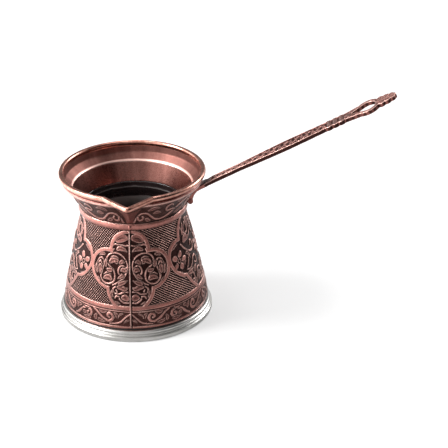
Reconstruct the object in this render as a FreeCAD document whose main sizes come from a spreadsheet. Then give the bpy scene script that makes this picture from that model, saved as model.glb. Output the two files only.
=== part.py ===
import FreeCAD, Part

import os
import re

import Sketcher

# A cezve: a waisted coffee pot with a long flat handle. Its pieces, from the table up:
#   base_pan       bright steel dish that the pot stands on
#   inner_vessel   dark coated cup that holds the coffee and stands in the dish
#   seal_ring      black ring in the joint between the dish and the shell
#   body_shell     cast copper-coloured shell with the rim, the pouring spout and the neck
#   handle         cast bar with a hanging loop, a leaf tip and a lug that lies on the neck
#   handle_rivets  two rivets that hold the lug to the shell
# Frame: +Z up, the origin in the middle of the base where it meets the table, the spout to -Y
# and the handle to +X. Lengths are in millimetres and angles in degrees.

SIZES = [
    # shared
    ("corner_bow", 0.293, "share of a rounded corner's radius cut off at the middle of its arc"),
    # steel base
    ("base_radius", 42.0, "outer edge of the base flange"),
    ("base_edge", 0.7, "rounding under the flange"),
    ("flange_top", 2.8, "height of the flange's top"),
    ("bevel_start_radius", 41.0, "outside of the bevel above the flange"),
    ("bevel_start_height", 4.2, "height where the bevel starts"),
    ("bevel_bow", 0.35, "how far the bevel bulges"),
    ("base_step_radius", 39.8, "top edge of the bevel"),
    ("base_height", 6.0, "height of the base's top ledge"),
    ("base_floor", 2.0, "thickness of the base's floor"),
    ("base_bore", 38.15, "radius inside the base's rim"),
    # seal
    ("seal_radius", 39.2, "outer radius of the seal ring"),
    ("seal_height", 0.75, "thickness of the seal ring"),
    # shell, outside
    ("foot_radius", 39.4, "shell at its foot"),
    ("skirt_radius", 38.95, "shell half way up the foot curve"),
    ("skirt_height", 12.0, "height of that point"),
    ("band_low", 17.2, "bottom of the plain raised band"),
    ("band_high", 19.5, "top of the plain raised band"),
    ("band_low_radius", 38.05, "shell radius under the band"),
    ("band_high_radius", 37.55, "shell radius over the band"),
    ("band_relief", 0.3, "how far the band stands out"),
    ("belly_radius", 32.05, "top end of the straight belly"),
    ("belly_height", 45.0, "height of that point"),
    ("flare_radius", 30.1, "curve between belly and waist"),
    ("flare_height", 52.0, "height of that point"),
    ("waist_radius", 28.5, "narrowest part of the shell"),
    ("waist_low", 58.0, "bottom of the waist"),
    ("waist_high", 60.4, "top of the waist"),
    ("collar_radius", 29.15, "plain ring above the waist"),
    ("collar_middle", 62.2, "height of the ring's crest"),
    ("neck_low_radius", 28.9, "bottom of the flaring neck"),
    ("neck_low", 64.0, "height of that point"),
    ("neck_mid_radius", 32.0, "middle of the flaring neck"),
    ("neck_mid", 70.0, "height of that point"),
    ("neck_high_radius", 36.1, "top of the flaring neck"),
    ("neck_high", 76.4, "height of that point"),
    ("bead_radius", 37.9, "crest of the bead between neck and rim"),
    ("bead_height", 78.0, "height of that crest"),
    ("groove_radius", 37.2, "groove between that bead and the rim"),
    ("groove_height", 79.6, "height of that groove"),
    ("lip_radius", 38.0, "centre line of the rim bead"),
    ("lip_bead", 1.45, "radius of the rim bead"),
    ("pot_height", 83.0, "top of the rim"),
    # shell, inside
    ("rim_wall_radius", 36.7, "inner wall just under the rim"),
    ("ledge_outer_radius", 35.8, "outside of the sloping ledge"),
    ("ledge_outer", 77.0, "height of that corner"),
    ("ledge_inner_radius", 31.9, "inside edge of the sloping ledge"),
    ("ledge_inner", 73.4, "height of that edge"),
    ("neck_bore_radius", 27.2, "narrowest part of the inner neck"),
    ("vessel_top", 63.0, "height where the inner vessel starts"),
    ("waist_wall", 0.85, "shell wall at the waist"),
    ("flare_wall", 1.0, "shell wall at the flare"),
    ("belly_wall", 1.1, "shell wall at the belly"),
    ("skirt_wall", 1.2, "shell wall at the foot curve"),
    ("foot_wall", 1.3, "shell wall at the foot"),
    # inner vessel
    ("vessel_gap", 0.05, "clearance between vessel and shell"),
    ("vessel_wall", 0.6, "wall of the inner vessel"),
    ("vessel_floor", 1.2, "floor of the inner vessel"),
    ("vessel_corner", 3.0, "rounding between its wall and floor"),
    # spout
    ("spout_half_width", 12.4, "half the spout's width at the rim"),
    ("spout_root", 34.4, "depth at which the spout's flanks start inside the wall"),
    ("spout_reach", 49.2, "from the pot's axis to the spout's tip"),
    ("spout_wall", 0.9, "from the rim bead's centre to the spout's outer face"),
    ("spout_bottom", 65.0, "height where the keel dies into the neck"),
    ("keel_radius", 30.2, "keel at its bottom"),
    ("keel_half_width", 2.2, "half the keel's width at its bottom"),
    ("channel_bottom", 66.5, "height where the pouring channel starts"),
    ("channel_inset", 1.9, "from the rim bead's centre to the channel's tip"),
    # handle
    ("handle_slope", 26.6, "angle of the bar above the horizontal"),
    ("handle_root_radius", 30.0, "where the bar's top face would meet the neck"),
    ("handle_root", 70.6, "height of that point"),
    ("handle_length", 121.9, "from there to the tip of the leaf"),
    ("handle_thickness", 2.2, "thickness of the bar"),
    ("root_width", 5.4, "bar by the pot"),
    ("root_end", 31.0, "where the bar starts to widen"),
    ("swell_width", 8.6, "widest part of the bar"),
    ("swell_place", 57.0, "where that is"),
    ("waist_width", 7.2, "bar before the loop"),
    ("edge_bow", 0.25, "how far the bar's long edges bulge"),
    ("scallop_start", 81.5, "where the scalloped edge starts"),
    ("scallop_pitch", 3.5, "length of one scallop"),
    ("scallop_bow", 0.7, "how far a scallop bulges"),
    ("loop_place", 105.6, "middle of the loop's round end"),
    ("loop_radius", 6.9, "outside of the loop's round end"),
    ("loop_from", 132.0, "angle on that circle where the loop's round end starts"),
    ("loop_to", 32.0, "angle where it runs into the leaf"),
    ("eye_radius", 4.5, "inside of the loop's round end"),
    ("eye_start", 96.6, "pointed end of the eye"),
    ("eye_point", 0.5, "half width at that point"),
    ("eye_flank", 117.0, "angle on the eye's circle where its straight sides start"),
    ("leaf_first", 7.0, "end of the leaf's first lobe, back from the tip"),
    ("leaf_first_half", 3.8, "half width there"),
    ("leaf_second", 3.6, "end of the second lobe"),
    ("leaf_second_half", 3.0, "half width there"),
    ("leaf_third", 1.0, "end of the third lobe"),
    ("leaf_third_half", 1.9, "half width there"),
    ("leaf_bow", 0.9, "how far a lobe bulges"),
    # lug and its curl
    ("lug_width", 5.4, "width of the lug"),
    ("lug_face_radius", 31.3, "outer face of the lug at its foot"),
    ("lug_foot", 63.9, "height of that point"),
    ("lug_top", 69.4, "height where the lug joins the bar"),
    ("lug_slope", 24.3, "lean of the lug's outer face and of the inner neck"),
    ("lug_crook_radius", 39.0, "where the lug runs out under the bar"),
    ("curl_radius", 1.5, "curl at the lug's foot"),
    ("curl_width", 6.4, "width of the curl"),
    # rivets
    ("rivet_radius", 1.2, "shank"),
    ("rivet_play", 0.05, "clearance round the shank"),
    ("rivet_head", 2.0, "radius of both heads"),
    ("rivet_dome", 0.8, "height of both heads"),
    ("rivet_crown", 1.2, "radius of the flat crown of both heads"),
    ("rivet_grip", 3.36, "from the inner neck wall to the lug's outer face"),
    ("rivet_seat", 0.08, "head held off the curved wall"),
    ("rivet_upper", 70.7, "height of the upper rivet on the inner wall"),
    ("rivet_lower", 66.0, "height of the lower rivet on the inner wall"),
]

ALIAS = re.compile(r"[a-z]+(?:_[a-z]+)+")

doc = FreeCAD.newDocument("cezve")


def fill_sheet():
    """Writes the driving dimensions, one row each: alias, number, meaning."""
    sheet = doc.addObject("Spreadsheet::Sheet", "size")
    for row, (alias, number, meaning) in enumerate(SIZES, start=1):
        sheet.set(f"A{row}", alias)
        sheet.set(f"B{row}", str(number))
        sheet.set(f"C{row}", meaning)
        sheet.setAlias(f"B{row}", alias)
    doc.recompute()
    return sheet


sheet = fill_sheet()


def value(expression):
    """The number that an expression on the sheet's aliases gives now."""
    return float(sheet.evalExpression(expression))


def bind(item, prop, expression):
    """Makes a property follow an expression on the sheet's aliases."""
    item.setExpression(prop, ALIAS.sub(r"size.\g<0>", expression))


def new_body(label):
    body = doc.addObject("PartDesign::Body", label)
    body.Label = label
    return body


def sketch_on(body, name, role, height="0"):
    """A sketch on one of the body's own origin planes, lifted off it by height."""
    plane = next(item for item in body.Origin.OriginFeatures if item.Role == role)
    sketch = body.newObject("Sketcher::SketchObject", name)
    sketch.AttachmentSupport = [(plane, "")]
    sketch.MapMode = "FlatFace"
    bind(sketch, "AttachmentOffset.Base.z", height)
    return sketch


def fix_point(sketch, geometry, end, place):
    """Ties one point of a sketch to a pair of expressions measured from the origin."""
    for kind, axis, expression in (("DistanceX", -2, place[0]), ("DistanceY", -1, place[1])):
        number = value(expression)
        if abs(number) < 1e-9:
            sketch.addConstraint(Sketcher.Constraint("PointOnObject", geometry, end, axis))
        else:
            rule = sketch.addConstraint(Sketcher.Constraint(kind, -1, 1, geometry, end, number))
            bind(sketch, f"Constraints[{rule}]", expression)


def vector(place):
    return FreeCAD.Vector(value(place[0]), value(place[1]), 0)


def draw_outline(sketch, start, steps):
    """Adds one closed outline. A step (x, y) is a straight line to that corner, a step
    (bow_x, bow_y, x, y) is an arc through the bow point; a straight line closes what is left."""
    if steps[-1][-2:] != start:
        steps = steps + [start]
    corners = [start] + [step[-2:] for step in steps[:-1]]
    ends = []
    for number, step in enumerate(steps):
        first, last = vector(corners[number]), vector(step[-2:])
        if len(step) == 4:
            edge = sketch.addGeometry(Part.ArcOfCircle(first, vector(step[:2]), last))
            bow = sketch.addGeometry(Part.Point(vector(step[:2])), True)
            fix_point(sketch, bow, 1, step[:2])
            sketch.addConstraint(Sketcher.Constraint("PointOnObject", bow, 1, edge))
        else:
            edge = sketch.addGeometry(Part.LineSegment(first, last))
        forward = sketch.getPoint(edge, 1).distanceToPoint(first) < 1e-6
        ends.append((edge, 1, 2) if forward else (edge, 2, 1))
    for number, (edge, begin, _) in enumerate(ends):
        before, _, finish = ends[number - 1]
        sketch.addConstraint(Sketcher.Constraint("Coincident", before, finish, edge, begin))
        fix_point(sketch, edge, begin, corners[number])
    if sketch.solve() != 0:
        raise RuntimeError(f"sketch {sketch.Name} does not solve")


def revolve(body, name, start, steps):
    """Turns an outline of (radius, height) corners about the body's Z axis."""
    sketch = sketch_on(body, f"{name}_outline", "XZ_Plane")
    draw_outline(sketch, start, steps)
    turned = body.newObject("PartDesign::Revolution", name)
    turned.Profile = sketch
    turned.ReferenceAxis = (sketch, ["V_Axis"])
    turned.Angle = 360
    doc.recompute()
    return turned


def loft(body, kind, name, sections):
    """A straight-sided loft through triangles, each given as (height, corners)."""
    sketches = []
    for number, (height, corners) in enumerate(sections):
        sketch = sketch_on(body, f"{name}_section_{number}", "XY_Plane", height)
        draw_outline(sketch, corners[0], corners[1:])
        sketches.append(sketch)
    lofted = body.newObject(f"PartDesign::{kind}", name)
    lofted.Profile = sketches[0]
    lofted.Sections = sketches[1:]
    lofted.Ruled = True
    doc.recompute()
    return lofted


def combine(kind, label, parts, prop=None):
    """A boolean or compound of whole parts."""
    result = doc.addObject(kind, label)
    result.Label = label
    if prop:
        setattr(result, prop, parts)
    else:
        result.Base, result.Tool = parts
    doc.recompute()
    return result


def make_base_pan():
    """Steel dish: flat floor, rounded flange, a fine line, and a bevel up to the ledge."""
    body = new_body("base_pan")
    revolve(body, "pan", ("0", "0"), [
        ("base_radius - base_edge", "0"),
        ("base_radius - corner_bow * base_edge", "corner_bow * base_edge", "base_radius", "base_edge"),
        ("base_radius", "flange_top - base_edge"),
        ("base_radius - corner_bow * base_edge", "flange_top - corner_bow * base_edge",
         "base_radius - base_edge", "flange_top"),
        ("bevel_start_radius", "flange_top"),
        ("bevel_start_radius", "bevel_start_height"),
        ("(bevel_start_radius + base_step_radius) / 2 + bevel_bow",
         "(bevel_start_height + base_height) / 2 + bevel_bow",
         "base_step_radius", "base_height"),
        ("base_bore", "base_height"),
        ("base_bore", "base_floor"),
        ("0", "base_floor"),
    ])
    return body


def make_seal_ring():
    """Flat ring that fills the joint between the base's ledge and the shell's foot."""
    body = new_body("seal_ring")
    revolve(body, "ring", ("base_bore", "base_height"), [
        ("seal_radius", "base_height"),
        ("seal_radius", "base_height + seal_height"),
        ("base_bore", "base_height + seal_height"),
    ])
    return body


def wall_inside(name, inset="0"):
    """Radius of the shell's inner surface at one of its named points, less an inset."""
    return f"{name}_radius - {name}_wall - ({inset})"


def vessel_wall_up(inset):
    """The curved wall from the belly's low end up to the vessel's mouth, inset from the shell."""
    return [
        (wall_inside("belly", inset), "belly_height"),
        (wall_inside("flare", inset), "flare_height", wall_inside("waist", inset), "waist_low"),
        (wall_inside("waist", inset), "vessel_top"),
    ]


def make_inner_vessel():
    """Thin cup that follows the shell's inside; it slides up into the shell from below."""
    outer = "vessel_gap"
    inner = "vessel_gap + vessel_wall"
    low_band = "band_high_radius - skirt_wall - ({})"
    wall_foot = "base_bore - vessel_gap - ({})"
    body = new_body("inner_vessel")
    up = [
        (wall_foot.format("vessel_corner"), "base_floor"),
        (wall_foot.format("corner_bow * vessel_corner"), "base_floor + corner_bow * vessel_corner",
         wall_foot.format("0"), "base_floor + vessel_corner"),
        (wall_foot.format("0"), "base_height + seal_height"),
        (wall_inside("skirt", outer), "skirt_height", low_band.format(outer), "band_high"),
    ] + vessel_wall_up(outer)
    thin = vessel_wall_up(inner)
    down = [
        (wall_inside("waist", inner), "vessel_top"),
        (wall_inside("waist", inner), "waist_low"),
        thin[1][:2] + thin[0],
        (low_band.format(inner), "band_high"),
        (wall_inside("skirt", inner), "skirt_height",
         wall_foot.format("vessel_wall"), "base_height + seal_height"),
        (wall_foot.format("vessel_wall"), "base_floor + vessel_corner"),
        (wall_foot.format("vessel_wall + corner_bow * vessel_corner"),
         "base_floor + vessel_floor + 0.1 * vessel_corner",
         wall_foot.format("vessel_corner"), "base_floor + vessel_floor"),
        ("0", "base_floor + vessel_floor"),
    ]
    revolve(body, "cup", ("0", "base_floor"), up + down)
    return body


def neck_steps(gap="0"):
    """Outside of the neck from the waist up to the groove under the rim, moved out by gap."""
    def out(radius):
        return f"{radius} + {gap}"

    return [
        (out("waist_radius"), "waist_high"),
        (out("collar_radius"), "collar_middle", out("neck_low_radius"), "neck_low"),
        (out("neck_mid_radius"), "neck_mid", out("neck_high_radius"), "neck_high"),
        (out("bead_radius"), "bead_height", out("groove_radius"), "groove_height"),
    ]


def make_shell_turning(body):
    """The shell before its spout: one turned outline, up the outside and down the inside."""
    lip_height = "pot_height - lip_bead"
    foot = "base_height + seal_height"
    outside = [
        ("foot_radius", foot),
        ("skirt_radius", "skirt_height", "band_low_radius", "band_low"),
        ("band_low_radius + band_relief", "band_low"),
        ("band_high_radius + band_relief", "band_high"),
        ("band_high_radius", "band_high"),
        ("belly_radius", "belly_height"),
        ("flare_radius", "flare_height", "waist_radius", "waist_low"),
    ] + neck_steps()
    rim = [
        ("lip_radius", f"{lip_height} - lip_bead"),
        ("lip_radius + lip_bead", lip_height, "lip_radius", "pot_height"),
        ("lip_radius - (1 - corner_bow) * lip_bead", f"{lip_height} + (1 - corner_bow) * lip_bead",
         "rim_wall_radius", f"{lip_height} - 0.5 * lip_bead"),
    ]
    inside = [
        ("ledge_outer_radius", "ledge_outer"),
        ("ledge_inner_radius", "ledge_inner"),
        ("neck_bore_radius", "vessel_top"),
        (wall_inside("waist"), "vessel_top"),
        (wall_inside("waist"), "waist_low"),
        (wall_inside("flare"), "flare_height", wall_inside("belly"), "belly_height"),
        ("band_high_radius - skirt_wall", "band_high"),
        (wall_inside("skirt"), "skirt_height", wall_inside("foot"), foot),
    ]
    outline = outside + rim + inside
    revolve(body, "turning", outline[-1][-2:], outline)


def make_body_shell(bores):
    """The turned shell with a V-shaped pouring spout, beaded round its edge, and two bores."""
    body = new_body("shell_casting")
    make_shell_turning(body)
    rim_height = "pot_height - lip_bead"
    inner_reach = "lip_radius / 2"
    loft(body, "AdditiveLoft", "spout_wedge", [
        (rim_height, [("spout_half_width + spout_wall", "-spout_root"),
                      ("0", "-spout_reach - spout_wall"),
                      ("-spout_half_width - spout_wall", "-spout_root")]),
        ("spout_bottom", [("keel_half_width", "-neck_low_radius + spout_wall"),
                          ("0", "-keel_radius"),
                          ("-keel_half_width", "-neck_low_radius + spout_wall")]),
    ])
    loft(body, "SubtractiveLoft", "spout_channel", [
        ("pot_height + spout_wall", [("spout_half_width", f"-{inner_reach}"),
                                     ("spout_half_width - spout_wall", "-spout_root"),
                                     ("0", "-spout_reach + channel_inset"),
                                     ("spout_wall - spout_half_width", "-spout_root"),
                                     ("-spout_half_width", f"-{inner_reach}")]),
        ("channel_bottom", [("keel_half_width / 2", f"-{inner_reach}"),
                            ("keel_half_width / 3", "-neck_low_radius + spout_wall"),
                            ("0", "-neck_low_radius"),
                            ("-keel_half_width / 3", "-neck_low_radius + spout_wall"),
                            ("-keel_half_width / 2", f"-{inner_reach}")]),
    ])
    pieces = [body] + make_spout_beads()
    cast = combine("Part::MultiFuse", "shell_with_beads", pieces, "Shapes")
    return combine("Part::Cut", "body_shell", (cast, bores))


def make_spout_beads():
    """The rim bead carried along both sides of the spout to a ball at its tip."""
    kink_depth = "sqrt(lip_radius ^ 2 - spout_half_width ^ 2)"
    height = value("pot_height - lip_bead")
    tip = FreeCAD.Vector(0, -value("spout_reach"), height)
    ball = doc.addObject("Part::Sphere", "spout_tip_bead")
    bind(ball, "Radius", "lip_bead")
    ball.Placement.Base = tip
    beads = [ball]
    for name, side in (("spout_bead_right", 1), ("spout_bead_left", -1)):
        kink = FreeCAD.Vector(side * value("spout_half_width"), -value(kink_depth), height)
        bead = doc.addObject("Part::Cylinder", name)
        bind(bead, "Radius", "lip_bead")
        bind(bead, "Height", f"sqrt(spout_half_width ^ 2 + (spout_reach - {kink_depth}) ^ 2)")
        turn = FreeCAD.Rotation(FreeCAD.Vector(0, 0, 1), tip - kink)
        bead.Placement = FreeCAD.Placement(kink, turn)
        beads.append(bead)
    return beads


def mirrored(side, steps):
    """The same steps on the other side of the handle's middle line when side is minus one."""
    flipped = []
    for step in steps:
        flipped.append(tuple(f"{side} * ({part})" if place % 2 else part
                             for place, part in enumerate(step)))
    return flipped


def bulged(first, last, bow):
    """An arc between two (along, half width) places that bulges outwards by bow."""
    middle = [f"({start} + {end}) / 2" for start, end in zip(first, last)]
    return middle[0], f"{middle[1]} + {bow}", *last


def on_circle(centre, radius, angle):
    """A place on a circle whose centre is on the handle's middle line."""
    return f"{centre} + {radius} * cos({angle})", f"{radius} * sin({angle})"


def handle_edge():
    """One long edge of the handle from the root to the tip, as (along, half width) steps."""
    root = ("root_end", "root_width / 2")
    swell = ("swell_place", "swell_width / 2")
    scallop = ("scallop_start", "waist_width / 2")
    edge = [root, bulged(root, swell, "edge_bow"), bulged(swell, scallop, "edge_bow")]
    for count in range(3):
        end = (f"scallop_start + {count + 1} * scallop_pitch", "waist_width / 2")
        edge.append(bulged(edge[-1][-2:], end, "scallop_bow"))
    edge += [
        on_circle("loop_place", "loop_radius", "loop_from"),
        on_circle("loop_place", "loop_radius", "(loop_from + loop_to) / 2")
        + on_circle("loop_place", "loop_radius", "loop_to"),
    ]
    for lobe in ("leaf_first", "leaf_second", "leaf_third"):
        end = (f"handle_length - {lobe}", f"{lobe}_half")
        edge.append(bulged(edge[-1][-2:], end, "leaf_bow"))
    return edge


def make_handle_bar():
    """The flat bar, drawn from above in its own tilted frame and padded downwards."""
    body = new_body("handle_bar")
    edge = handle_edge()
    far = mirrored(-1, edge)
    back = []
    for number in range(len(far) - 1, 0, -1):
        back.append(far[number][:-2] + far[number - 1][-2:])
    start = ("lug_width", "root_width / 2")
    tip = ("handle_length", "0") + far[-1][-2:]
    sketch = sketch_on(body, "bar_outline", "XY_Plane")
    draw_outline(sketch, start, edge + [tip] + back + [("lug_width", "-root_width / 2")])
    flank = on_circle("loop_place", "eye_radius", "eye_flank")
    draw_outline(sketch, ("eye_start", "eye_point"), [
        flank,
        ("loop_place + eye_radius", "0") + on_circle("loop_place", "eye_radius", "-eye_flank"),
        ("eye_start", "-eye_point"),
    ])
    pad = body.newObject("PartDesign::Pad", "bar")
    pad.Profile = sketch
    pad.Reversed = True
    bind(pad, "Length", "handle_thickness")
    root = FreeCAD.Vector(value("handle_root_radius"), 0, value("handle_root"))
    slope = FreeCAD.Rotation(FreeCAD.Vector(0, 1, 0), -value("handle_slope"))
    body.Placement = FreeCAD.Placement(root, slope)
    doc.recompute()
    return body


def make_lug():
    """Side view of the lug, padded to its width: it hangs from the bar and lies on the neck."""
    body = new_body("handle_lug")
    sketch = sketch_on(body, "lug_outline", "XZ_Plane")
    lean = "tan(lug_slope)"
    under_bar = "handle_root + (lug_crook_radius - handle_root_radius) * tan(handle_slope)"
    draw_outline(sketch, ("handle_root_radius", "handle_root"), [
        ("lug_crook_radius", under_bar),
        ("lug_crook_radius", f"{under_bar} - handle_thickness / cos(handle_slope)"),
        (f"lug_face_radius + {lean} * (lug_top - lug_foot)", "lug_top"),
        ("lug_face_radius", "lug_foot"),
        ("neck_bore_radius", "lug_foot"),
    ])
    pad = body.newObject("PartDesign::Pad", "lug")
    pad.Profile = sketch
    pad.Midplane = True
    bind(pad, "Length", "lug_width")
    doc.recompute()
    return body


def make_curl():
    """Small roll across the lug's foot."""
    curl = doc.addObject("Part::Cylinder", "lug_curl")
    bind(curl, "Radius", "curl_radius")
    bind(curl, "Height", "curl_width")
    centre = FreeCAD.Vector(value("lug_face_radius - curl_radius / 4"),
                            value("curl_width / 2"), value("lug_foot + curl_radius / 3"))
    curl.Placement = FreeCAD.Placement(centre, FreeCAD.Rotation(FreeCAD.Vector(1, 0, 0), 90))
    return curl


def make_handle(bores):
    """The bar, lug and curl as one casting, cut back to sit on the neck and bored for rivets."""
    casting = combine("Part::MultiFuse", "handle_casting",
                      [make_handle_bar(), make_lug(), make_curl()], "Shapes")
    neck = new_body("neck_room")
    revolve(neck, "neck_solid", ("0", "waist_high"),
            neck_steps("vessel_gap") + [("lip_radius", "pot_height"), ("0", "pot_height")])
    seated = combine("Part::Cut", "handle_seated", (casting, neck))
    return combine("Part::Cut", "handle", (seated, bores))


def rivet_placement(height):
    """A frame on the inner neck wall whose Z axis runs out through the lug."""
    radius = value(f"neck_bore_radius + ({height} - vessel_top) * tan(lug_slope)")
    lean = value("lug_slope")
    turn = FreeCAD.Rotation(FreeCAD.Vector(0, 1, 0), 90 + lean)
    return FreeCAD.Placement(FreeCAD.Vector(radius, 0, value(height)), turn)


def make_bores():
    """The two holes that the rivets pass through, as one cutting tool."""
    holes = []
    for height in ("rivet_upper", "rivet_lower"):
        hole = doc.addObject("Part::Cylinder", f"{height}_hole")
        bind(hole, "Radius", "rivet_radius + rivet_play")
        bind(hole, "Height", "rivet_grip + 4 * rivet_head")
        hole.Placement = rivet_placement(height)
        set_back = FreeCAD.Vector(0, 0, value("2 * rivet_head"))
        hole.Placement.Base -= hole.Placement.Rotation.multVec(set_back)
        holes.append(hole)
    return combine("Part::Compound", "rivet_bores", holes, "Links")


def make_rivets():
    """Two rivets with bevelled heads, one head inside the neck and one on the lug."""
    rivets = []
    for height in ("rivet_upper", "rivet_lower"):
        body = new_body(f"{height}_rivet")
        revolve(body, f"{height}_turned", ("0", "-rivet_seat - rivet_dome"), [
            ("rivet_crown", "-rivet_seat - rivet_dome"),
            ("rivet_head", "-rivet_seat - rivet_dome / 3"),
            ("rivet_head", "-rivet_seat"),
            ("rivet_radius", "-rivet_seat"),
            ("rivet_radius", "rivet_grip"),
            ("rivet_head", "rivet_grip"),
            ("rivet_head", "rivet_grip + rivet_dome / 3"),
            ("rivet_crown", "rivet_grip + rivet_dome"),
            ("0", "rivet_grip + rivet_dome"),
        ])
        body.Placement = rivet_placement(height)
        rivets.append(body)
    return combine("Part::Compound", "handle_rivets", rivets, "Links")


def check(pieces):
    """Stops if anything in the document failed, or a piece is empty or not sound."""
    doc.recompute()
    for item in doc.Objects:
        if {"Invalid", "Error"} & set(item.State):
            raise RuntimeError(f"{item.Label} failed: {item.State}")
    for piece in pieces:
        if piece.Shape.isNull() or not piece.Shape.isValid() or not piece.Shape.Solids:
            raise RuntimeError(f"{piece.Label} has no sound shape")


bores = make_bores()
pieces = [make_base_pan(), make_inner_vessel(), make_seal_ring(), make_body_shell(bores),
          make_handle(bores), make_rivets()]
check(pieces)
os.makedirs("parts", exist_ok=True)
for piece in pieces:
    piece.Shape.exportStep(f"parts/{piece.Label}.step")
    print(piece.Label, len(piece.Shape.Solids), "solid(s)", round(piece.Shape.Volume / 1000, 2), "cm3")
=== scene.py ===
import math

import bpy
import numpy as np
from mathutils import Matrix, Vector


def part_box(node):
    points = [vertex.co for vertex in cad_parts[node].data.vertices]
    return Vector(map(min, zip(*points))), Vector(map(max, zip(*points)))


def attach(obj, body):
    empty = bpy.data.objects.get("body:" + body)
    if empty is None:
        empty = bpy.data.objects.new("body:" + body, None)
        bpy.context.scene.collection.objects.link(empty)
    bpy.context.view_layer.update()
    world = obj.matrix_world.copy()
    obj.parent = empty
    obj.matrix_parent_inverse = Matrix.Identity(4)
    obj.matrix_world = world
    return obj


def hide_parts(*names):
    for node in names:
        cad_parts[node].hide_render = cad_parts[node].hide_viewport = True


# A cast copper coffee pot (cezve). Design values are in millimetres and degrees, like the CAD model;
# meshes are written in metres. The spout points to -Y and the handle to +X.

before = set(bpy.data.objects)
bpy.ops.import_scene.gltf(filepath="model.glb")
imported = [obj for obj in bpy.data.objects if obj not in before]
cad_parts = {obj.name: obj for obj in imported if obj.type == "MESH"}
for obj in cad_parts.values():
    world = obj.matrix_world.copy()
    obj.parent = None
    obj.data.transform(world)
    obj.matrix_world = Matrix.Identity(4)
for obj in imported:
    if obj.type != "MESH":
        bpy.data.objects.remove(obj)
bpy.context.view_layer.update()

MM = 0.001


def node_box(node):
    """Lowest and highest corner of a CAD node, in millimetres."""
    low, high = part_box(node)
    return np.array(low) / MM, np.array(high) / MM


# ---- sizes taken from the frame

BASE_RADIUS, _, BASE_TOP = node_box("base_pan")[1]
SEAL_RADIUS = node_box("seal_ring")[1][0]
CUP_FLOOR, CUP_TOP = (corner[2] for corner in node_box("inner_vessel"))
SHELL_LOW, SHELL_HIGH = node_box("body_shell")
FOOT, POT_TOP = SHELL_LOW[2], SHELL_HIGH[2]
LIP_BEAD = 1.45
LIP_RADIUS = SHELL_HIGH[1] - LIP_BEAD
LIP_HEIGHT = POT_TOP - LIP_BEAD
SPOUT_REACH = -SHELL_LOW[1] - LIP_BEAD

# ---- outlines and mesh helpers


def arc_points(begin, bow, end, spacing):
    """Points from begin to end along the circle through bow, without the first point."""
    (ax, ay), (bx, by), (cx, cy) = begin, bow, end
    det = 2 * (ax * (by - cy) + bx * (cy - ay) + cx * (ay - by))
    a2, b2, c2 = ax * ax + ay * ay, bx * bx + by * by, cx * cx + cy * cy
    ox = (a2 * (by - cy) + b2 * (cy - ay) + c2 * (ay - by)) / det
    oy = (a2 * (cx - bx) + b2 * (ax - cx) + c2 * (bx - ax)) / det
    radius = math.hypot(ax - ox, ay - oy)
    first = math.atan2(ay - oy, ax - ox)
    turn = math.tau if det > 0 else -math.tau
    sweep = (math.atan2(cy - oy, cx - ox) - first) % turn
    count = max(2, math.ceil(abs(sweep) * radius / spacing))
    angles = first + sweep * np.arange(1, count + 1) / count
    return np.column_stack([ox + radius * np.cos(angles), oy + radius * np.sin(angles)])


def trace(start, steps, spacing):
    """An outline as points: (x, y) steps are straight lines, (bow_x, bow_y, x, y) steps are arcs."""
    points = [np.array([start], float)]
    for step in steps:
        begin = points[-1][-1]
        if len(step) == 4:
            points.append(arc_points(begin, step[:2], step[2:], spacing))
        else:
            count = max(1, math.ceil(math.dist(begin, step) / spacing))
            share = np.arange(1, count + 1)[:, None] / count
            points.append(begin + (np.array(step) - begin) * share)
    return np.vstack(points)


def smoothstep(low, high, x):
    """0 at low and 1 at high with a soft change-over; low may be the greater of the two."""
    t = np.clip((x - low) / (high - low), 0, 1)
    return t * t * (3 - 2 * t)


def put(name, data):
    """A new scene object for a mesh, lamp or camera."""
    made = bpy.data.objects.new(name, data)
    bpy.context.scene.collection.objects.link(made)
    return made


def unit_rows(vectors):
    return vectors / np.linalg.norm(vectors, axis=1)[:, None]


def fold(value, period):
    """A value brought to within half a period of zero."""
    return (value + period / 2) % period - period / 2


def to_segment(x, y, begin, end):
    """Share of the way along a segment where it is nearest to each place, and the distance there."""
    (ax, ay), (bx, by) = begin, end
    dx, dy = bx - ax, by - ay
    t = np.clip(((x - ax) * dx + (y - ay) * dy) / (dx * dx + dy * dy + 1e-9), 0, 1)
    return t, np.hypot(x - ax - t * dx, y - ay - t * dy)


def make_object(name, vertices, quads, materials, attributes=None, slots=None):
    """A smooth-shaded mesh object from millimetre vertices; attributes are one number a vertex."""
    mesh = bpy.data.meshes.new(name)
    vertices = np.asarray(vertices, np.float32) * MM
    quads = np.asarray(quads, np.int32)
    mesh.vertices.add(len(vertices))
    mesh.vertices.foreach_set("co", vertices.ravel())
    mesh.loops.add(quads.size)
    mesh.loops.foreach_set("vertex_index", quads.ravel())
    mesh.polygons.add(len(quads))
    mesh.polygons.foreach_set("loop_start", np.arange(0, quads.size, quads.shape[1], dtype=np.int32))
    for material in materials:
        mesh.materials.append(material)
    if slots is not None:
        mesh.polygons.foreach_set("material_index", np.asarray(slots, np.int32))
    for key, values in (attributes or {}).items():
        layer = mesh.attributes.new(key, "FLOAT", "POINT")
        layer.data.foreach_set("value", np.asarray(values, np.float32).ravel())
    mesh.update()
    mesh.validate()
    mesh.shade_smooth()
    return put(name, mesh)


def ring_quads(rows, columns):
    """Faces of a grid whose rows and columns both wrap round."""
    row, column = np.arange(rows)[:, None], np.arange(columns)
    above, beside = (row + 1) % rows, (column + 1) % columns
    corners = [row * columns + column, row * columns + beside,
               above * columns + beside, above * columns + column]
    return np.stack(corners, -1).reshape(-1, 4)


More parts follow.
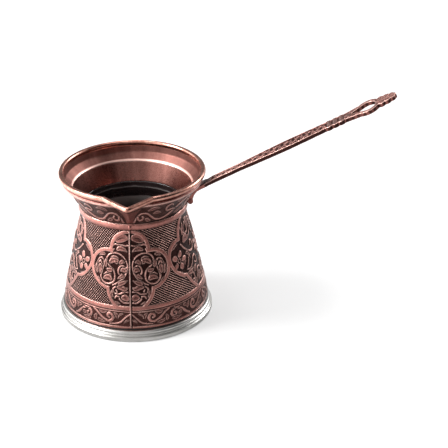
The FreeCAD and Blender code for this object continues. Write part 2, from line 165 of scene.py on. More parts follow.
def turn_points(outline, columns):
    """Vertices of a closed outline of (radius, height) points turned about the Z axis."""
    angles = np.arange(columns) * math.tau / columns
    radius, height = outline[:, :1], outline[:, 1:]
    points = [radius * np.cos(angles), radius * np.sin(angles), height + 0 * angles]
    return np.stack(points, -1).reshape(-1, 3)


def turned(name, outline, columns, material):
    """A turned piece; the radii of its outline stay above zero."""
    return make_object(name, turn_points(outline, columns), ring_quads(len(outline), columns), [material])


# ---- shell profile

WAIST_LOW, WAIST_HIGH = 58.0, 60.4
NECK_LOW, NECK_HIGH = 64.0, 76.3
FINE = 0.36

SHELL_ZONES = [
    # zone, spacing of its rows, its steps from the foot up the outside and down the inside
    ("body", FINE, [
        (38.95, 12, 38.05, 17.2),
        (37.55, 19.5),
        (32.05, 45),
        (30.1, 52, 28.5, WAIST_LOW),
        (28.4, WAIST_HIGH),
    ]),
    ("collar", 0.4, [(28.75, 60.55), (29.3, 62.2, 28.95, 63.75), (28.75, NECK_LOW)]),
    ("neck", FINE, [(32, 70, 36, NECK_HIGH)]),
    ("moulding", 0.4, [
        (36.2, 76.5),
        (36.4, 76.9),
        (37.95, 78, 37.3, 79.1),
        (37.05, 79.6, 37.55, LIP_HEIGHT - LIP_BEAD + 0.1),
    ]),
    ("rim", 0.4, [
        (LIP_RADIUS + LIP_BEAD, LIP_HEIGHT, LIP_RADIUS, POT_TOP),
        (LIP_RADIUS - 0.71 * LIP_BEAD, LIP_HEIGHT + 0.71 * LIP_BEAD, 36.8, LIP_HEIGHT - 0.4 * LIP_BEAD),
    ]),
    ("inside", 0.7, [
        (36, 77.4),
        (35.8, 76.95, 35.4, 76.6),
        (32.4, 73.85),
        (31.9, 73.5, 31.75, 73),
        (27.35, CUP_TOP + 0.2),
        (27.3, CUP_TOP),
    ]),
    ("hidden", 4.0, [
        (27.65, CUP_TOP),
        (27.65, WAIST_LOW),
        (29.1, 52, 30.95, 45),
        (36.35, 19.5),
        (37.75, 12, 38.1, FOOT),
    ]),
]


def shell_rows():
    """The whole profile as points, and the row where each zone starts."""
    points = np.array([(39.4, FOOT)])
    starts = {}
    for zone, spacing, steps in SHELL_ZONES:
        starts[zone] = len(points)
        points = np.vstack([points, trace(points[-1], steps, spacing)[1:]])
    return points, starts


PROFILE, ZONE = shell_rows()
OUTSIDE = PROFILE[:ZONE["rim"]]


def body_radius(z):
    """Outer radius of the shell at a height, without ornament."""
    return np.interp(z, OUTSIDE[:, 1], OUTSIDE[:, 0])


# ---- ornament
# The ornament is drawn once on a quarter of the pot and mirrored about the front seam, the back seam
# and the planes half way between. Places are (degrees from the seam, height in millimetres).

QUARTER = 90.0
BAND_LOW, BAND_HIGH = 17.2, 19.6
FIELD_TOP = 60.0
COLLAR_LOW, COLLAR_HIGH = 60.3, 63.9
NUB_HEIGHT = 61.9
SCROLL_LOW, SCROLL_HIGH = 8.3, 16.5
NECK_SCROLL_LOW, NECK_SCROLL_HIGH = 64.3, 76.0
FRAME_HALF = 1.0
BAND_GROUND = 0.12
HATCH_PITCH = 1.06
HATCH_FALL, HATCH_RISE = 0.56, 0.87  # slopes of the two families of engraved lines, in radians

MAP_STEP_ANGLE, MAP_STEP_HEIGHT = 0.25, 0.15
map_angles = np.arange(0, QUARTER + MAP_STEP_ANGLE / 2, MAP_STEP_ANGLE)
map_heights = np.arange(FOOT, NECK_HIGH + 1.0, MAP_STEP_HEIGHT)
MAP_A, MAP_Z = np.meshgrid(map_angles, map_heights)
MAP_X = np.radians(MAP_A) * body_radius(MAP_Z)


def to_plane(points):
    """(degrees, height) places as millimetres along the surface and height."""
    points = np.asarray(points, float)
    return np.column_stack([np.radians(points[:, 0]) * body_radius(points[:, 1]), points[:, 1]])


def smooth_curve(points):
    """Catmull-Rom curve through the points, eight steps from each point to the next."""
    p = np.asarray(points, float)
    p = np.vstack([2 * p[0] - p[1], p, 2 * p[-1] - p[-2]])
    t = np.linspace(0, 1, 8, endpoint=False)[:, None]
    spans = []
    for a, b, c, d in zip(p[:-3], p[1:-2], p[2:-1], p[3:]):
        spans.append(0.5 * (2 * b + (c - a) * t + (2 * a - 5 * b + 4 * c - d) * t ** 2
                            + (3 * b - a - 3 * c + d) * t ** 3))
    return np.vstack(spans + [p[-2:-1]])


def stroke_field(x, y, curve, widths):
    """Signed distance to a stroke's edge and its share of the way from middle line to edge."""
    edge = np.full(x.shape, 99.0)
    share = np.full(x.shape, 9.0)
    for begin, end, wide, next_wide in zip(curve[:-1], curve[1:], widths[:-1], widths[1:]):
        t, distance = to_segment(x, y, begin, end)
        width = wide + (next_wide - wide) * t
        nearer = distance - width < edge
        edge = np.where(nearer, distance - width, edge)
        share = np.where(nearer, distance / width, share)
    return edge, share


def width_profile(count, kind, width):
    """Half widths along a stroke: a vine keeps its width and fades at its end, a leaf swells."""
    t = np.linspace(0, 1, count)
    if kind == "leaf":
        return width * (0.12 + 0.88 * np.sin(math.pi * t ** 0.75) ** 0.9)
    return width * (0.62 + 0.38 * np.sin(math.pi * np.clip(t, 0.08, 0.92)) ** 0.5)


class Relief:
    """A height map in millimetres over the quarter, built up stroke by stroke."""

    def __init__(self):
        self.height = np.zeros(MAP_A.shape)

    def add(self, kind, points, width, top):
        """Raises a vine or a leaf out of a narrow trench; a leaf has a sunk vein and a raised rim."""
        curve = smooth_curve(to_plane(points))
        margin = width + 0.8
        (left, low), (right, high) = curve.min(0) - margin, curve.max(0) + margin
        low_radius = body_radius(low if low > FOOT else FOOT + 1)
        begin = math.degrees(left / low_radius)
        end = math.degrees(right / min(low_radius, body_radius(high))) + 1
        near = (MAP_Z > low) & (MAP_Z < high) & (MAP_A > begin) & (MAP_A < end)
        widths = width_profile(len(curve), kind, width)
        edge, share = stroke_field(MAP_X[near], MAP_Z[near], curve, widths)
        lift = top * smoothstep(0.12, -0.28, edge)
        if kind == "leaf":
            vein = 0.55 * smoothstep(0.3, 0.05, share) + 0.25 * smoothstep(0.8, 0.5, share)
            lift *= 1 - 0.75 * vein
        trench = np.where(edge > 0, smoothstep(0.7, 0.25, edge) * smoothstep(-0.1, 0.2, edge), 0)
        self.height[near] = np.maximum(self.height[near] * (1 - 0.8 * trench), lift)


def around(centre, reach, angle):
    """The (degrees, height) place at a distance and direction from a centre."""
    turn = reach * math.cos(angle) * math.degrees(1 / body_radius(centre[1]))
    return centre[0] + turn, centre[1] + reach * math.sin(angle)


def ring(centre, radius, begin, count):
    """Points of a small ring about a centre that closes in by a twentieth as it goes round."""
    turns = np.linspace(0, 1, count)
    return [around(centre, radius * (1 - 0.05 * t), math.radians(begin) + math.tau * t) for t in turns]


FRONT_VINES = [
    # S-shaped vine: over the heart, down, round the lower bud, up and over the outer bud
    [(3.2, 43.8), (6, 46), (11, 47.5), (16, 47.6), (20.5, 46.4), (22.6, 44.1), (21.9, 41.8), (18.3, 40),
     (15, 38), (13.8, 35.4), (14.9, 32.7), (18.5, 31.1), (22.6, 31), (26, 32.3), (27.6, 34.6),
     (26.6, 37.6), (25, 40.2), (25.4, 42.8), (27.9, 44.1), (30.5, 43.2), (32, 40.8), (31.8, 37.8),
     (30.4, 36.4)],
    # lower edge of the heart, from the seam down to the lower cusp
    [(3.2, 43.8), (2.2, 41.4), (3, 38.6), (5, 35.9), (8, 33.5), (11.6, 31.8), (15.6, 30.6)],
    # curl inside the heart
    [(19.6, 42.9), (17.5, 45.3), (14, 45.9), (11.3, 44.7), (11.4, 42.8), (13.4, 42.3), (14.6, 43.4)],
    # hook beside the seam
    [(4.4, 40.4), (7.2, 41.5), (10, 40.3), (11, 38.2), (9.8, 36.6), (7.6, 36.7)],
    # arch over the lower bud
    [(16.8, 34), (18.6, 36.1), (21.6, 36.7), (24.4, 35.6)],
    # loop in the outer bud
    [(27, 40.6), (28.6, 42.2), (30.2, 41.4), (30.2, 39.2)],
    # branch across the top lobe, curled at its outer end
    [(1.2, 51.9), (5.5, 51.7), (10, 51.9), (14.5, 52.2), (18, 51.2), (18.8, 49.5), (17, 48.8),
     (15.8, 49.7)],
    # hook and tail in the bottom lobe
    [(12, 30), (14.8, 28.9), (15, 27), (12.8, 25.9), (11.4, 27), (12.2, 28)],
    [(12.8, 25.9), (9, 26), (5, 27.3), (2, 27.2)],
    # round bud at the bottom
    [(1.6, 21.4), (5.2, 21.4), (8.6, 22.9), (9.6, 24.6)],
    [(9.6, 24.6), (12, 24.6), (13, 23.4)],
]
FRONT_LEAVES = [
    ([(13.6, 53.9), (9.5, 55.3), (5, 55.9), (1.6, 55.4)], 1.45),
    ([(12.8, 49.4), (9.4, 50.2), (5.6, 49.8), (2.2, 48.6)], 0.85),
    ([(19.5, 42), (16.6, 43.6), (13, 43.9), (9.2, 43)], 0.9),
    ([(10, 42.2), (7.4, 43.4), (4.8, 43)], 0.7),
    ([(4.2, 38.6), (6.4, 39.2), (8.8, 38.4)], 0.85),
    ([(6, 36.4), (8.6, 35.2), (11.4, 34)], 0.6),
    ([(17, 33.2), (19.4, 34.4), (22.4, 34.2), (25.2, 33.2)], 0.95),
    ([(17, 38.3), (19.5, 38.2), (22.2, 38.6)], 0.8),
    ([(22.8, 39.6), (23.6, 41.6), (23.8, 44)], 0.6),
    ([(28.6, 40.4), (29, 38), (28.8, 35.4)], 0.8),
    ([(31.6, 35.4), (33, 38), (33.4, 41)], 0.6),
    ([(30.6, 33.4), (28.6, 31.6), (25.4, 30)], 0.5),
    ([(24.8, 46.4), (27.8, 46.2), (30.8, 45)], 0.6),
    ([(17.6, 53.4), (16.8, 55.4), (14.6, 57.2)], 0.6),
    ([(11.4, 29.4), (8, 29.6), (4.6, 28.8), (1.8, 29.4)], 0.9),
    ([(10.6, 31), (6.6, 32), (2.4, 33.4)], 0.75),
    ([(2, 23.4), (4.6, 24.2), (7.4, 23.8)], 1.15),
    ([(12.8, 21.6), (10.4, 20.9), (8, 20.4)], 0.4),
    ([(16.4, 27.6), (16, 25.4), (14.4, 23.6)], 0.5),
]
SIDE_VINES = [
    # long vine from the upper cusp down to the middle of the side
    [(55.6, 46.6), (59, 44), (63.4, 41.8), (68, 40.2), (72.6, 39.8), (76, 41.6), (75.4, 44.4), (72.4, 45),
     (71.2, 43)],
    # its mate from the lower cusp
    [(58.6, 31.8), (61.4, 34.4), (63.6, 37.2), (67.4, 38.4)],
    [(58.6, 31.8), (62.6, 31), (67, 32.6), (70.6, 35.4), (74.8, 36.2), (77.4, 34), (76, 31.6),
     (73, 32.2)],
    # curl in the bottom
    [(61, 24.2), (61.2, 27), (64, 28.4), (66.8, 27), (66.4, 24.6), (64, 24.6)],
    [(67.8, 21.2), (71.4, 23.4), (73, 26.4), (76.6, 28.4), (81, 27.6), (82.6, 24.8), (80.2, 23)],
    # scrolls under the top
    [(59.8, 55.4), (62.6, 52), (67, 50.2), (71.8, 51), (73.6, 53.8), (71, 55.8), (68.4, 54.4)],
    [(68, 47.4), (73, 48.2), (77.4, 50.8), (79, 54), (82.6, 56.2), (87, 55)],
    [(87.4, 50.4), (84, 51.4), (82, 49.4), (83.6, 47.6)],
    [(79.6, 21), (84, 20.9), (88.4, 22.6)],
]
SIDE_LEAVES = [
    ([(61.4, 47.2), (65, 48.4), (69.4, 46.8)], 1.3),
    ([(60.4, 40.8), (63.6, 40), (67, 36.2)], 0.6),
    ([(58.8, 29.4), (63.4, 29.2), (68.6, 30.2)], 0.8),
    ([(62.4, 50.4), (64.4, 53.6), (66.6, 56.6)], 0.9),
    ([(74, 56.8), (77, 55.6), (76.4, 52)], 0.9),
    ([(84, 53.8), (86.6, 52.6), (89.4, 53.6)], 1),
    ([(62.6, 22), (66.4, 22.4), (69.4, 24.6)], 0.8),
    ([(69.4, 27.6), (71.6, 29.6), (74.8, 30.2)], 0.8),
    ([(74.6, 21.6), (76.8, 24.2), (79.4, 25.6)], 1),
    ([(84.6, 26.6), (87, 28.6), (89.8, 29.4)], 1.1),
    ([(84.4, 24.4), (87.2, 24.8), (90.2, 24)], 0.9),
    ([(43, 45.6), (46.8, 47.2), (51.4, 47.4)], 0.7),
    ([(42.4, 34), (46.4, 32.2), (52.4, 31.4)], 0.7),
    ([(54.2, 34.8), (57, 36.6), (58.6, 39.6)], 0.7),
]
FLOWER_CENTRE, FLOWER_REACH, PETAL = (50.2, 38.4), 3.6, 1.45
ROSETTE_CENTRE, ROSETTE_REACH, ROSETTE_PETALS = (90.0, 40.0), 4.6, 8

FRONT_LOBES = [(11.4, 38.8, 10.2), (0.0, 49.4, 9.9), (0.0, 29.0, 12.3)]
SIDE_LOBES = [(-19.2, 39.4, 10.3), (0.0, 43.9, 20.0), (0.0, 36.2, 22.1)]


def lobe_distance(middle, lobes):
    """Signed distance to the outline of overlapping round lobes about a middle line."""
    across = np.radians(MAP_A - middle) * body_radius(MAP_Z)
    across = np.minimum(across, -across) if middle else across
    rings = [np.hypot(across - x, MAP_Z - z) - radius for x, z, radius in lobes]
    return np.min(rings, axis=0)


def draw_petals(relief, centre, reach, count, size, first):
    """Round petals in a ring, each a short fat stroke pointing outwards."""
    for petal in range(count):
        angle = math.radians(first + petal * 360 / count)
        points = [around(centre, reach * share, angle) for share in (0.75, 0.975, 1.2)]
        relief.add("vine", points, size, 0.5)


NECK_VINES = [
    [(5.5, 64.8), (7.5, 67.6), (10.5, 70.6), (14, 71.6), (18, 70.8), (22, 68.4), (26, 66.2), (31, 65.2),
     (37, 65.6), (43, 67.6), (49, 70.6), (55, 73.4), (60.5, 74.6), (66, 73.4), (73, 70), (80, 66.8),
     (90, 65.4)],
    [(9, 69), (9.5, 66.8), (12, 66.2), (14.5, 67.4), (13.5, 69.2)],
    [(47, 69.8), (43, 70.6), (38.5, 70.2), (36, 71.6), (37, 73.8), (40.5, 74.6), (43, 73.4)],
    [(71, 71), (67.5, 69), (64.5, 69), (63, 70.6), (65, 72)],
    [(90, 73), (84, 73.6), (79, 72.6), (77, 70.8), (79.6, 69.6), (82, 70.6)],
]
NECK_LEAVES = [
    [(2, 69.4), (4, 72.4), (7.6, 74.8)],
    [(18, 73), (24, 74.6), (30, 73.6)],
    [(24, 70.2), (28, 70.8), (32, 69.4)],
    [(17, 67.4), (19.5, 65.8), (22.5, 65.2)],
    [(50, 66), (56, 67), (61, 69.4)],
    [(47, 74.6), (50.5, 75.2), (54, 75)],
    [(69, 75), (75, 74.4), (80, 75)],
    [(66, 66.2), (70, 65.6), (75, 66.4)],
]
SCROLL_VINES = [
    [(19.5, 0.97), (16, 0.78), (12, 0.46), (8.6, 0.27), (5.4, 0.22), (3, 0.37), (2.4, 0.6), (3.8, 0.8),
     (6.2, 0.8), (7, 0.62), (5.6, 0.52)],
    [(39, 0.03), (36, 0.2), (32.5, 0.5), (29.4, 0.73), (26, 0.84), (22.8, 0.74), (21.4, 0.5),
     (22.6, 0.29), (25, 0.27), (26, 0.45), (24.6, 0.55)],
]
SCROLL_LEAVES = [
    [(9, 0.1), (13.5, 0.14), (18, 0.34)],
    [(17.2, 0.12), (17.6, 0.35), (16.4, 0.6)],
    [(-1.6, 0.5), (-0.6, 0.75), (1.6, 0.95)],
    [(8, 0.93), (12, 0.86), (14.6, 0.95)],
    [(22, 0.1), (26, 0.08), (31, 0.16)],
    [(33, 0.86), (36.6, 0.74), (38.6, 0.5)],
    [(28, 0.3), (29.6, 0.42), (31, 0.3)],
    [(24, 0.97), (28, 0.95), (33, 0.97)],
]


def draw_scroll_band(relief, low, high, trough):
    """One period of the running vine: two stems that cross the band, each ending in a curl. Places in
    the lists above are (degrees from the trough, share of the band's height)."""
    for kind, strokes, width, top in (("vine", SCROLL_VINES, 0.82, 0.5),
                                      ("leaf", SCROLL_LEAVES, 1.1, 0.38)):
        for stroke in strokes:
            points = [(trough + angle, low + share * (high - low)) for angle, share in stroke]
            relief.add(kind, points, width, top)


def draw_medallions():
    """Scrolls, leaves and flowers that fill the quatrefoil at the seam and the medallion at the side."""
    relief = Relief()
    for points in FRONT_VINES + SIDE_VINES:
        relief.add("vine", points, 0.52, 0.5)
    for points, width in FRONT_LEAVES + SIDE_LEAVES:
        relief.add("leaf", points, 1.55 * width, 0.42)
    draw_petals(relief, FLOWER_CENTRE, FLOWER_REACH, 5, PETAL, first=75.0)
    relief.add("vine", ring(FLOWER_CENTRE, 1.1, 0, 9), 0.35, 0.45)
    draw_petals(relief, ROSETTE_CENTRE, ROSETTE_REACH, ROSETTE_PETALS, 1.3, first=22.5)
    relief.add("vine", ring(ROSETTE_CENTRE, 1.6, 90, 13), 0.5, 0.45)
    return relief.height


def draw_bands():
    """The running vines at the foot and on the neck; a stem and two leaves start the foot's at the seam."""
    relief = Relief()
    for trough in (12.0, 51.0):
        draw_scroll_band(relief, SCROLL_LOW + 0.6, SCROLL_HIGH - 0.3, trough)
    for points in NECK_VINES:
        relief.add("vine", points, 0.7, 0.5)
    for points in NECK_LEAVES:
        relief.add("leaf", points, 1.25, 0.4)
    relief.add("vine", [(0.6, 15.2), (4, 13.4), (8, 10.7), (12.4, 9.5), (17, 9.1)], 0.55, 0.5)
    relief.add("leaf", [(0.8, 11.8), (3.4, 11.4), (5.6, 9.9)], 0.7, 0.4)
    relief.add("leaf", [(5.4, 15.6), (8.6, 14.6), (10.2, 12.6)], 0.6, 0.4)
    return relief.height


def quarter_maps():
    """Height map and hatch mask over one quarter of the pot."""
    front = lobe_distance(0.0, FRONT_LOBES)
    side = lobe_distance(QUARTER, SIDE_LOBES)
    nearest = np.minimum(front, side)
    field = (MAP_Z > BAND_HIGH) & (MAP_Z < FIELD_TOP)
    height = np.where((nearest < -FRAME_HALF * 0.8) & field, draw_medallions(), 0.0)
    scroll = ((MAP_Z > SCROLL_LOW) & (MAP_Z < SCROLL_HIGH)) | (
        (MAP_Z > NECK_SCROLL_LOW) & (MAP_Z < NECK_SCROLL_HIGH))
    height = np.where(scroll, np.maximum(draw_bands(), BAND_GROUND), height)

    plain = smoothstep(0.45, 0.15, np.abs(MAP_Z - SCROLL_HIGH)) * 0.9
    for low, high in ((FOOT, SCROLL_LOW), (BAND_LOW, BAND_HIGH), (COLLAR_LOW, COLLAR_HIGH)):
        band = smoothstep(low - 0.1, low + 0.2, MAP_Z) * smoothstep(high + 0.1, high - 0.2, MAP_Z)
        plain = np.maximum(plain, band)
    for outline in (front, side):
        line = smoothstep(FRAME_HALF + 0.15, FRAME_HALF - 0.2, np.abs(outline))
        plain = np.maximum(plain, np.where(field, line, 0))
    hatch = np.where(field, smoothstep(FRAME_HALF, FRAME_HALF + 0.4, nearest), 0)
    return np.maximum(height, plain * 0.55), hatch


def blur(values, passes):
    """Small averaging blur of a map, edges repeated."""
    for _ in range(passes):
        padded = np.pad(values, 1, mode="edge")
        values = (padded[:-2, 1:-1] + padded[2:, 1:-1] + padded[1:-1, :-2] + padded[1:-1, 2:]
                  + 2 * padded[1:-1, 1:-1]) / 6
    return values


def sample(field, angle, height):
    """Bilinear look-up of a quarter map at angles from the seam, folded into the quarter."""
    folded = np.abs(fold(angle, 180))
    u = np.clip(folded / MAP_STEP_ANGLE, 0, len(map_angles) - 1.001)
    v = np.clip((height - FOOT) / MAP_STEP_HEIGHT, 0, len(map_heights) - 1.001)
    i, j = u.astype(int), v.astype(int)
    fu, fv = u - i, v - j
    return (field[j, i] * (1 - fu) * (1 - fv) + field[j, i + 1] * fu * (1 - fv)
            + field[j + 1, i] * (1 - fu) * fv + field[j + 1, i + 1] * fu * fv)


# ---- spout

SPOUT_HALF_WIDTH = 12.4
SPOUT_BOTTOM = 64.6
KEEL_RADIUS, KEEL_HALF_WIDTH = 29.4, 1.7
SPOUT_WALL = 2.0
SEAM_TURN = -1.2  # the seam and the ornament sit this many degrees beside the spout


def spout_radius(phi, z):
    """Radius of the spout's V-shaped outer face at an azimuth (radians from -Y) and height."""
    t = np.clip((z - SPOUT_BOTTOM) / (LIP_HEIGHT - SPOUT_BOTTOM), 0, 1.02)
    half = KEEL_HALF_WIDTH + (SPOUT_HALF_WIDTH - KEEL_HALF_WIDTH) * t ** 1.8
    rim = np.where(z > NECK_HIGH, LIP_RADIUS - (LIP_HEIGHT - z) * 0.25, body_radius(z))
    rim = np.minimum(rim, LIP_RADIUS)
    corner = np.sqrt(rim ** 2 - half ** 2)
    tip = KEEL_RADIUS + (SPOUT_REACH - KEEL_RADIUS) * t ** 1.1
    lean = np.maximum((tip - corner) / half, 0.0)
    across = np.sqrt(np.sin(phi) ** 2 + 0.012 ** 2)
    past_corner = np.maximum(np.abs(phi) - np.arcsin(half / rim), 0.0) * rim
    in_front = np.abs(phi) < 1.2
    return np.where(in_front, tip / (np.cos(phi) + lean * across) - 3.0 * past_corner, 0.0)


def soft_max(a, b, blend):
    """Greater of two values with a rounded change-over."""
    h = np.clip(0.5 + 0.5 * (a - b) / blend, 0, 1)
    return b + (a - b) * h + blend * h * (1 - h)


def rim_path(phi):
    """Plan of the rim bead's middle line, and its outward normal, round the whole pot."""
    spout = spout_radius(fold(phi, math.tau), np.full(phi.shape, LIP_HEIGHT))
    radius = soft_max(np.full(phi.shape, LIP_RADIUS), spout, 0.25)
    path = np.column_stack([radius * np.sin(phi), -radius * np.cos(phi)])
    tangent = np.roll(path, -1, 0) - np.roll(path, 1, 0)
    normal = unit_rows(np.column_stack([tangent[:, 1], -tangent[:, 0]]))
    for _ in range(3):
        normal = (np.roll(normal, 1, 0) + 2 * normal + np.roll(normal, -1, 0)) / 4
    return path, unit_rows(normal)


# ---- shell mesh


def wobble(angle, z, seed):
    """Slow waves that keep the mirrored copies of the ornament from being identical."""
    a = np.radians(angle)
    return (np.sin(3 * a + 0.11 * z + seed) + np.sin(7 * a - 0.23 * z + 2.1 * seed)
            + np.sin(11 * a + 0.37 * z + 3.7 * seed)) / 3


def hatch_lines(angle, z):
    """Phases of the two crossing families of engraved lines, and the share of the falling family,
    which leads on the right of the front seam."""
    signed = fold(angle, 360)
    x = np.radians(signed) * body_radius(z)
    falling = math.tau * (z * math.cos(HATCH_FALL) + x * math.sin(HATCH_FALL)) / HATCH_PITCH
    rising = math.tau * (z * math.cos(HATCH_RISE) - x * math.sin(HATCH_RISE)) / HATCH_PITCH
    folded = np.where(np.abs(signed) < 90, signed, 180 * np.sign(signed) - signed)
    return falling, rising, 0.62 + 0.22 * smoothstep(-25, 25, folded)


def seam_marks(angle, z):
    """Casting seam, trench beside it, nub on the collar right of the front seam, and soft crease."""
    x = np.radians(fold(angle, 180)) * body_radius(z)
    on_body = z < FIELD_TOP
    seam = smoothstep(0.42, 0.12, np.abs(x)) * on_body
    trench = smoothstep(0.75, 0.3, np.abs(x - 0.62)) * on_body
    nub = smoothstep(1.5, 0.3, np.hypot(x, z - NUB_HEIGHT)) * (angle < QUARTER)
    crease = 0.34 * smoothstep(10.0, 0.0, np.abs(x)) ** 1.5 * on_body
    return seam, trench, nub, crease


def bell(x, middle, width):
    return np.exp(-((x - middle) / width) ** 2)


# height and width of the grooves painted dark (patina and painted shade) and of the crest painted with a
# highlight in the moulding; edge of the ledge inside, painted with a highlight
MOULDING_GROOVES = [(79.8, 0.55), (76.7, 0.5)]
MOULDING_HIGHLIGHT = (78.0, 0.45)
LEDGE_EDGE = 73.5
# from these heights up, over this height, the turned wall gives way to the bead's own path
RIM_BLEND_OUTSIDE, RIM_BLEND_INSIDE, RIM_BLEND_HEIGHT = 78.0, 78.2, 1.7
SPOUT_BLEND = 0.7
# relief, in millimetres
GROUND_DEPTH, HATCH_DEPTH, HATCH_LIFT = 0.3, 0.1, 0.12
SEAM_HEIGHT, TRENCH_DEPTH, NUB_RISE = 0.35, 0.25, 0.9
# how strongly and how wide round an edge the finish is painted bright (rubbed wear and painted highlight)
# or painted dark (patina and painted shade)
WEAR_HIGHLIGHT_GAIN, WEAR_HIGHLIGHT_BLUR = 8.0, 4
CAVITY_GAIN, CAVITY_BLUR = 10.0, 7


def make_shell(materials):
    """The cast shell: the turned profile with ornament, seam and spout worked into one closed mesh."""
    columns = 720
    angle = np.arange(columns) * 360.0 / columns
    phi = np.radians(angle + SEAM_TURN)
    profile_z = PROFILE[:, 1:]
    r, z = PROFILE[:, :1] + 0 * phi, profile_z + 0 * phi
    along = unit_rows(np.gradient(PROFILE, axis=0))
    out_r, out_z = along[:, 1:], -along[:, :1]
    index = np.arange(len(PROFILE))[:, None]
    carved = smoothstep(0, 3, index) * (index < ZONE["moulding"])
    outer = index < ZONE["rim"]
    moulded = outer & (index >= ZONE["moulding"])
    hidden = index >= ZONE["hidden"]

    # ornament, hatching and seam
    height_map, hatch_map = quarter_maps()
    wear_and_highlight_map = np.clip(WEAR_HIGHLIGHT_GAIN * (height_map - blur(height_map, WEAR_HIGHLIGHT_BLUR)), 0, 1)
    cavity_map = np.clip(CAVITY_GAIN * (blur(height_map, CAVITY_BLUR) - height_map), 0, 1)
    a = angle + 0.35 * wobble(angle, z, 1.0)
    zz = z + 0.14 * wobble(angle, z, 5.0)
    hatch = sample(hatch_map, a, zz) * carved
    engraved = sample(height_map, a, zz)
    falling_lines, rising_lines, falling_share = hatch_lines(a, zz)
    fine = hatch * (falling_share * np.cos(falling_lines) + (1 - falling_share) * np.cos(rising_lines))
    seam, trench, nub, crease = seam_marks(angle, z)
    relief = engraved + HATCH_DEPTH * fine + HATCH_LIFT * hatch - GROUND_DEPTH
    relief = relief * (1 - 0.7 * seam) + SEAM_HEIGHT * seam - TRENCH_DEPTH * trench

    # spout
    v_face = spout_radius(fold(phi, math.tau) + 0 * z, z) - np.where(outer, 0.0, SPOUT_WALL)
    near_spout = smoothstep(-1.2, 0.3, v_face - r)
    relief = relief * carved * (1 - near_spout * (z > NECK_LOW)) + NUB_RISE * nub
    r = r + (relief + crease * carved) * out_r
    z = z + relief * out_z
    reach = np.where((z > SPOUT_BOTTOM) & ~hidden, soft_max(r, v_face, SPOUT_BLEND), r)
    x, y = reach * np.sin(phi), -reach * np.cos(phi)

    # near the rim the rows follow the bead's own path
    path, normal = rim_path(phi)
    offset = PROFILE[:, :1] - LIP_RADIUS
    start = np.where(outer, RIM_BLEND_OUTSIDE, RIM_BLEND_INSIDE)
    share = smoothstep(start, start + RIM_BLEND_HEIGHT, z) * (1 - hidden)
    x = x * (1 - share) + (path[:, 0] + offset * normal[:, 0]) * share
    y = y * (1 - share) + (path[:, 1] + offset * normal[:, 1]) * share

    # what the copper reads: raised parts, crevices painted dark (patina and painted shade) and edges
    # painted bright (rubbed wear and painted highlights)
    on_spout = near_spout * (z > NECK_LOW)
    raised = np.where(index < ZONE["moulding"], np.maximum(np.clip(engraved / 0.5, 0, 1), seam), 0.8)
    raised = np.maximum(raised, on_spout * 0.75)
    groove = sum(bell(profile_z, *line) for line in MOULDING_GROOVES)
    # crevices, the trench beside the seam and the moulding's grooves painted dark: patina and painted shade
    cavity = sample(cavity_map, a, zz) * carved * (1 - on_spout) * (1 - seam)
    cavity = np.clip(np.maximum(cavity, 0.8 * trench * carved) + 1.3 * groove * moulded, 0, 1)
    # edges and the seam's ridge painted bright: rubbed wear and painted highlight
    wear_and_highlight = np.maximum(sample(wear_and_highlight_map, a, zz) * (1 - on_spout), seam) * carved
    # a painted highlight along the ledge's edge inside
    wear_and_highlight = np.maximum(wear_and_highlight, smoothstep(0.6, 0.2, np.abs(profile_z - LEDGE_EDGE)) * (index >= ZONE["inside"]))
    # a painted highlight along the moulding's crest
    wear_and_highlight = np.maximum(wear_and_highlight, 0.7 * bell(profile_z, *MOULDING_HIGHLIGHT) * moulded)
    attributes = dict(raised=raised, cavity=cavity, wear_and_highlight=wear_and_highlight, hatch=hatch * (1 - on_spout),
                      falling_lines=falling_lines, rising_lines=rising_lines, falling_share=falling_share)
    slots = np.where(outer, 0, 1) + (index >= ZONE["inside"])
    return make_object("body_shell_cast", np.stack([x, y, z], -1).reshape(-1, 3),
                       ring_quads(len(PROFILE), columns), materials, attributes, np.repeat(slots, columns))


# ---- base, seal and inner vessel


def make_base(material):
    """Turned steel dish: rounded flange, fine groove, narrow band, groove and a domed bevel."""
    seat = 38.15
    outline = trace((0.02, 0), [
        (41.2, 0),
        (41.85, 0.2, BASE_RADIUS, 0.9),
        (BASE_RADIUS, 2),
        (41.85, 2.5, 41.4, 2.65),
        (41.15, 2.75),
        (41.25, 3),
        (41.45, 3.4, 41.15, 3.9),
        (40.75, 4.05),
        (40.85, 4.3),
        (40.75, 5.3, 39.9, 5.9),
        (39.6, BASE_TOP, 39.3, BASE_TOP),
        (seat, BASE_TOP),
        (seat, CUP_FLOOR),
        (0.02, CUP_FLOOR),
    ], 0.35)
    return turned("steel_base", outline, 288, material)


def make_seal(material):
    """Black bead squeezed into the joint under the shell's foot."""
    outline = trace((38.2, BASE_TOP + 0.02), [
        (SEAL_RADIUS - 0.25, BASE_TOP + 0.02),
        (SEAL_RADIUS, (BASE_TOP + FOOT) / 2, SEAL_RADIUS - 0.25, FOOT - 0.02),
        (38.2, FOOT - 0.02),
        (38.2, BASE_TOP + 0.02),
    ], 0.2)[:-1]
    return turned("joint_seal", outline, 240, material)


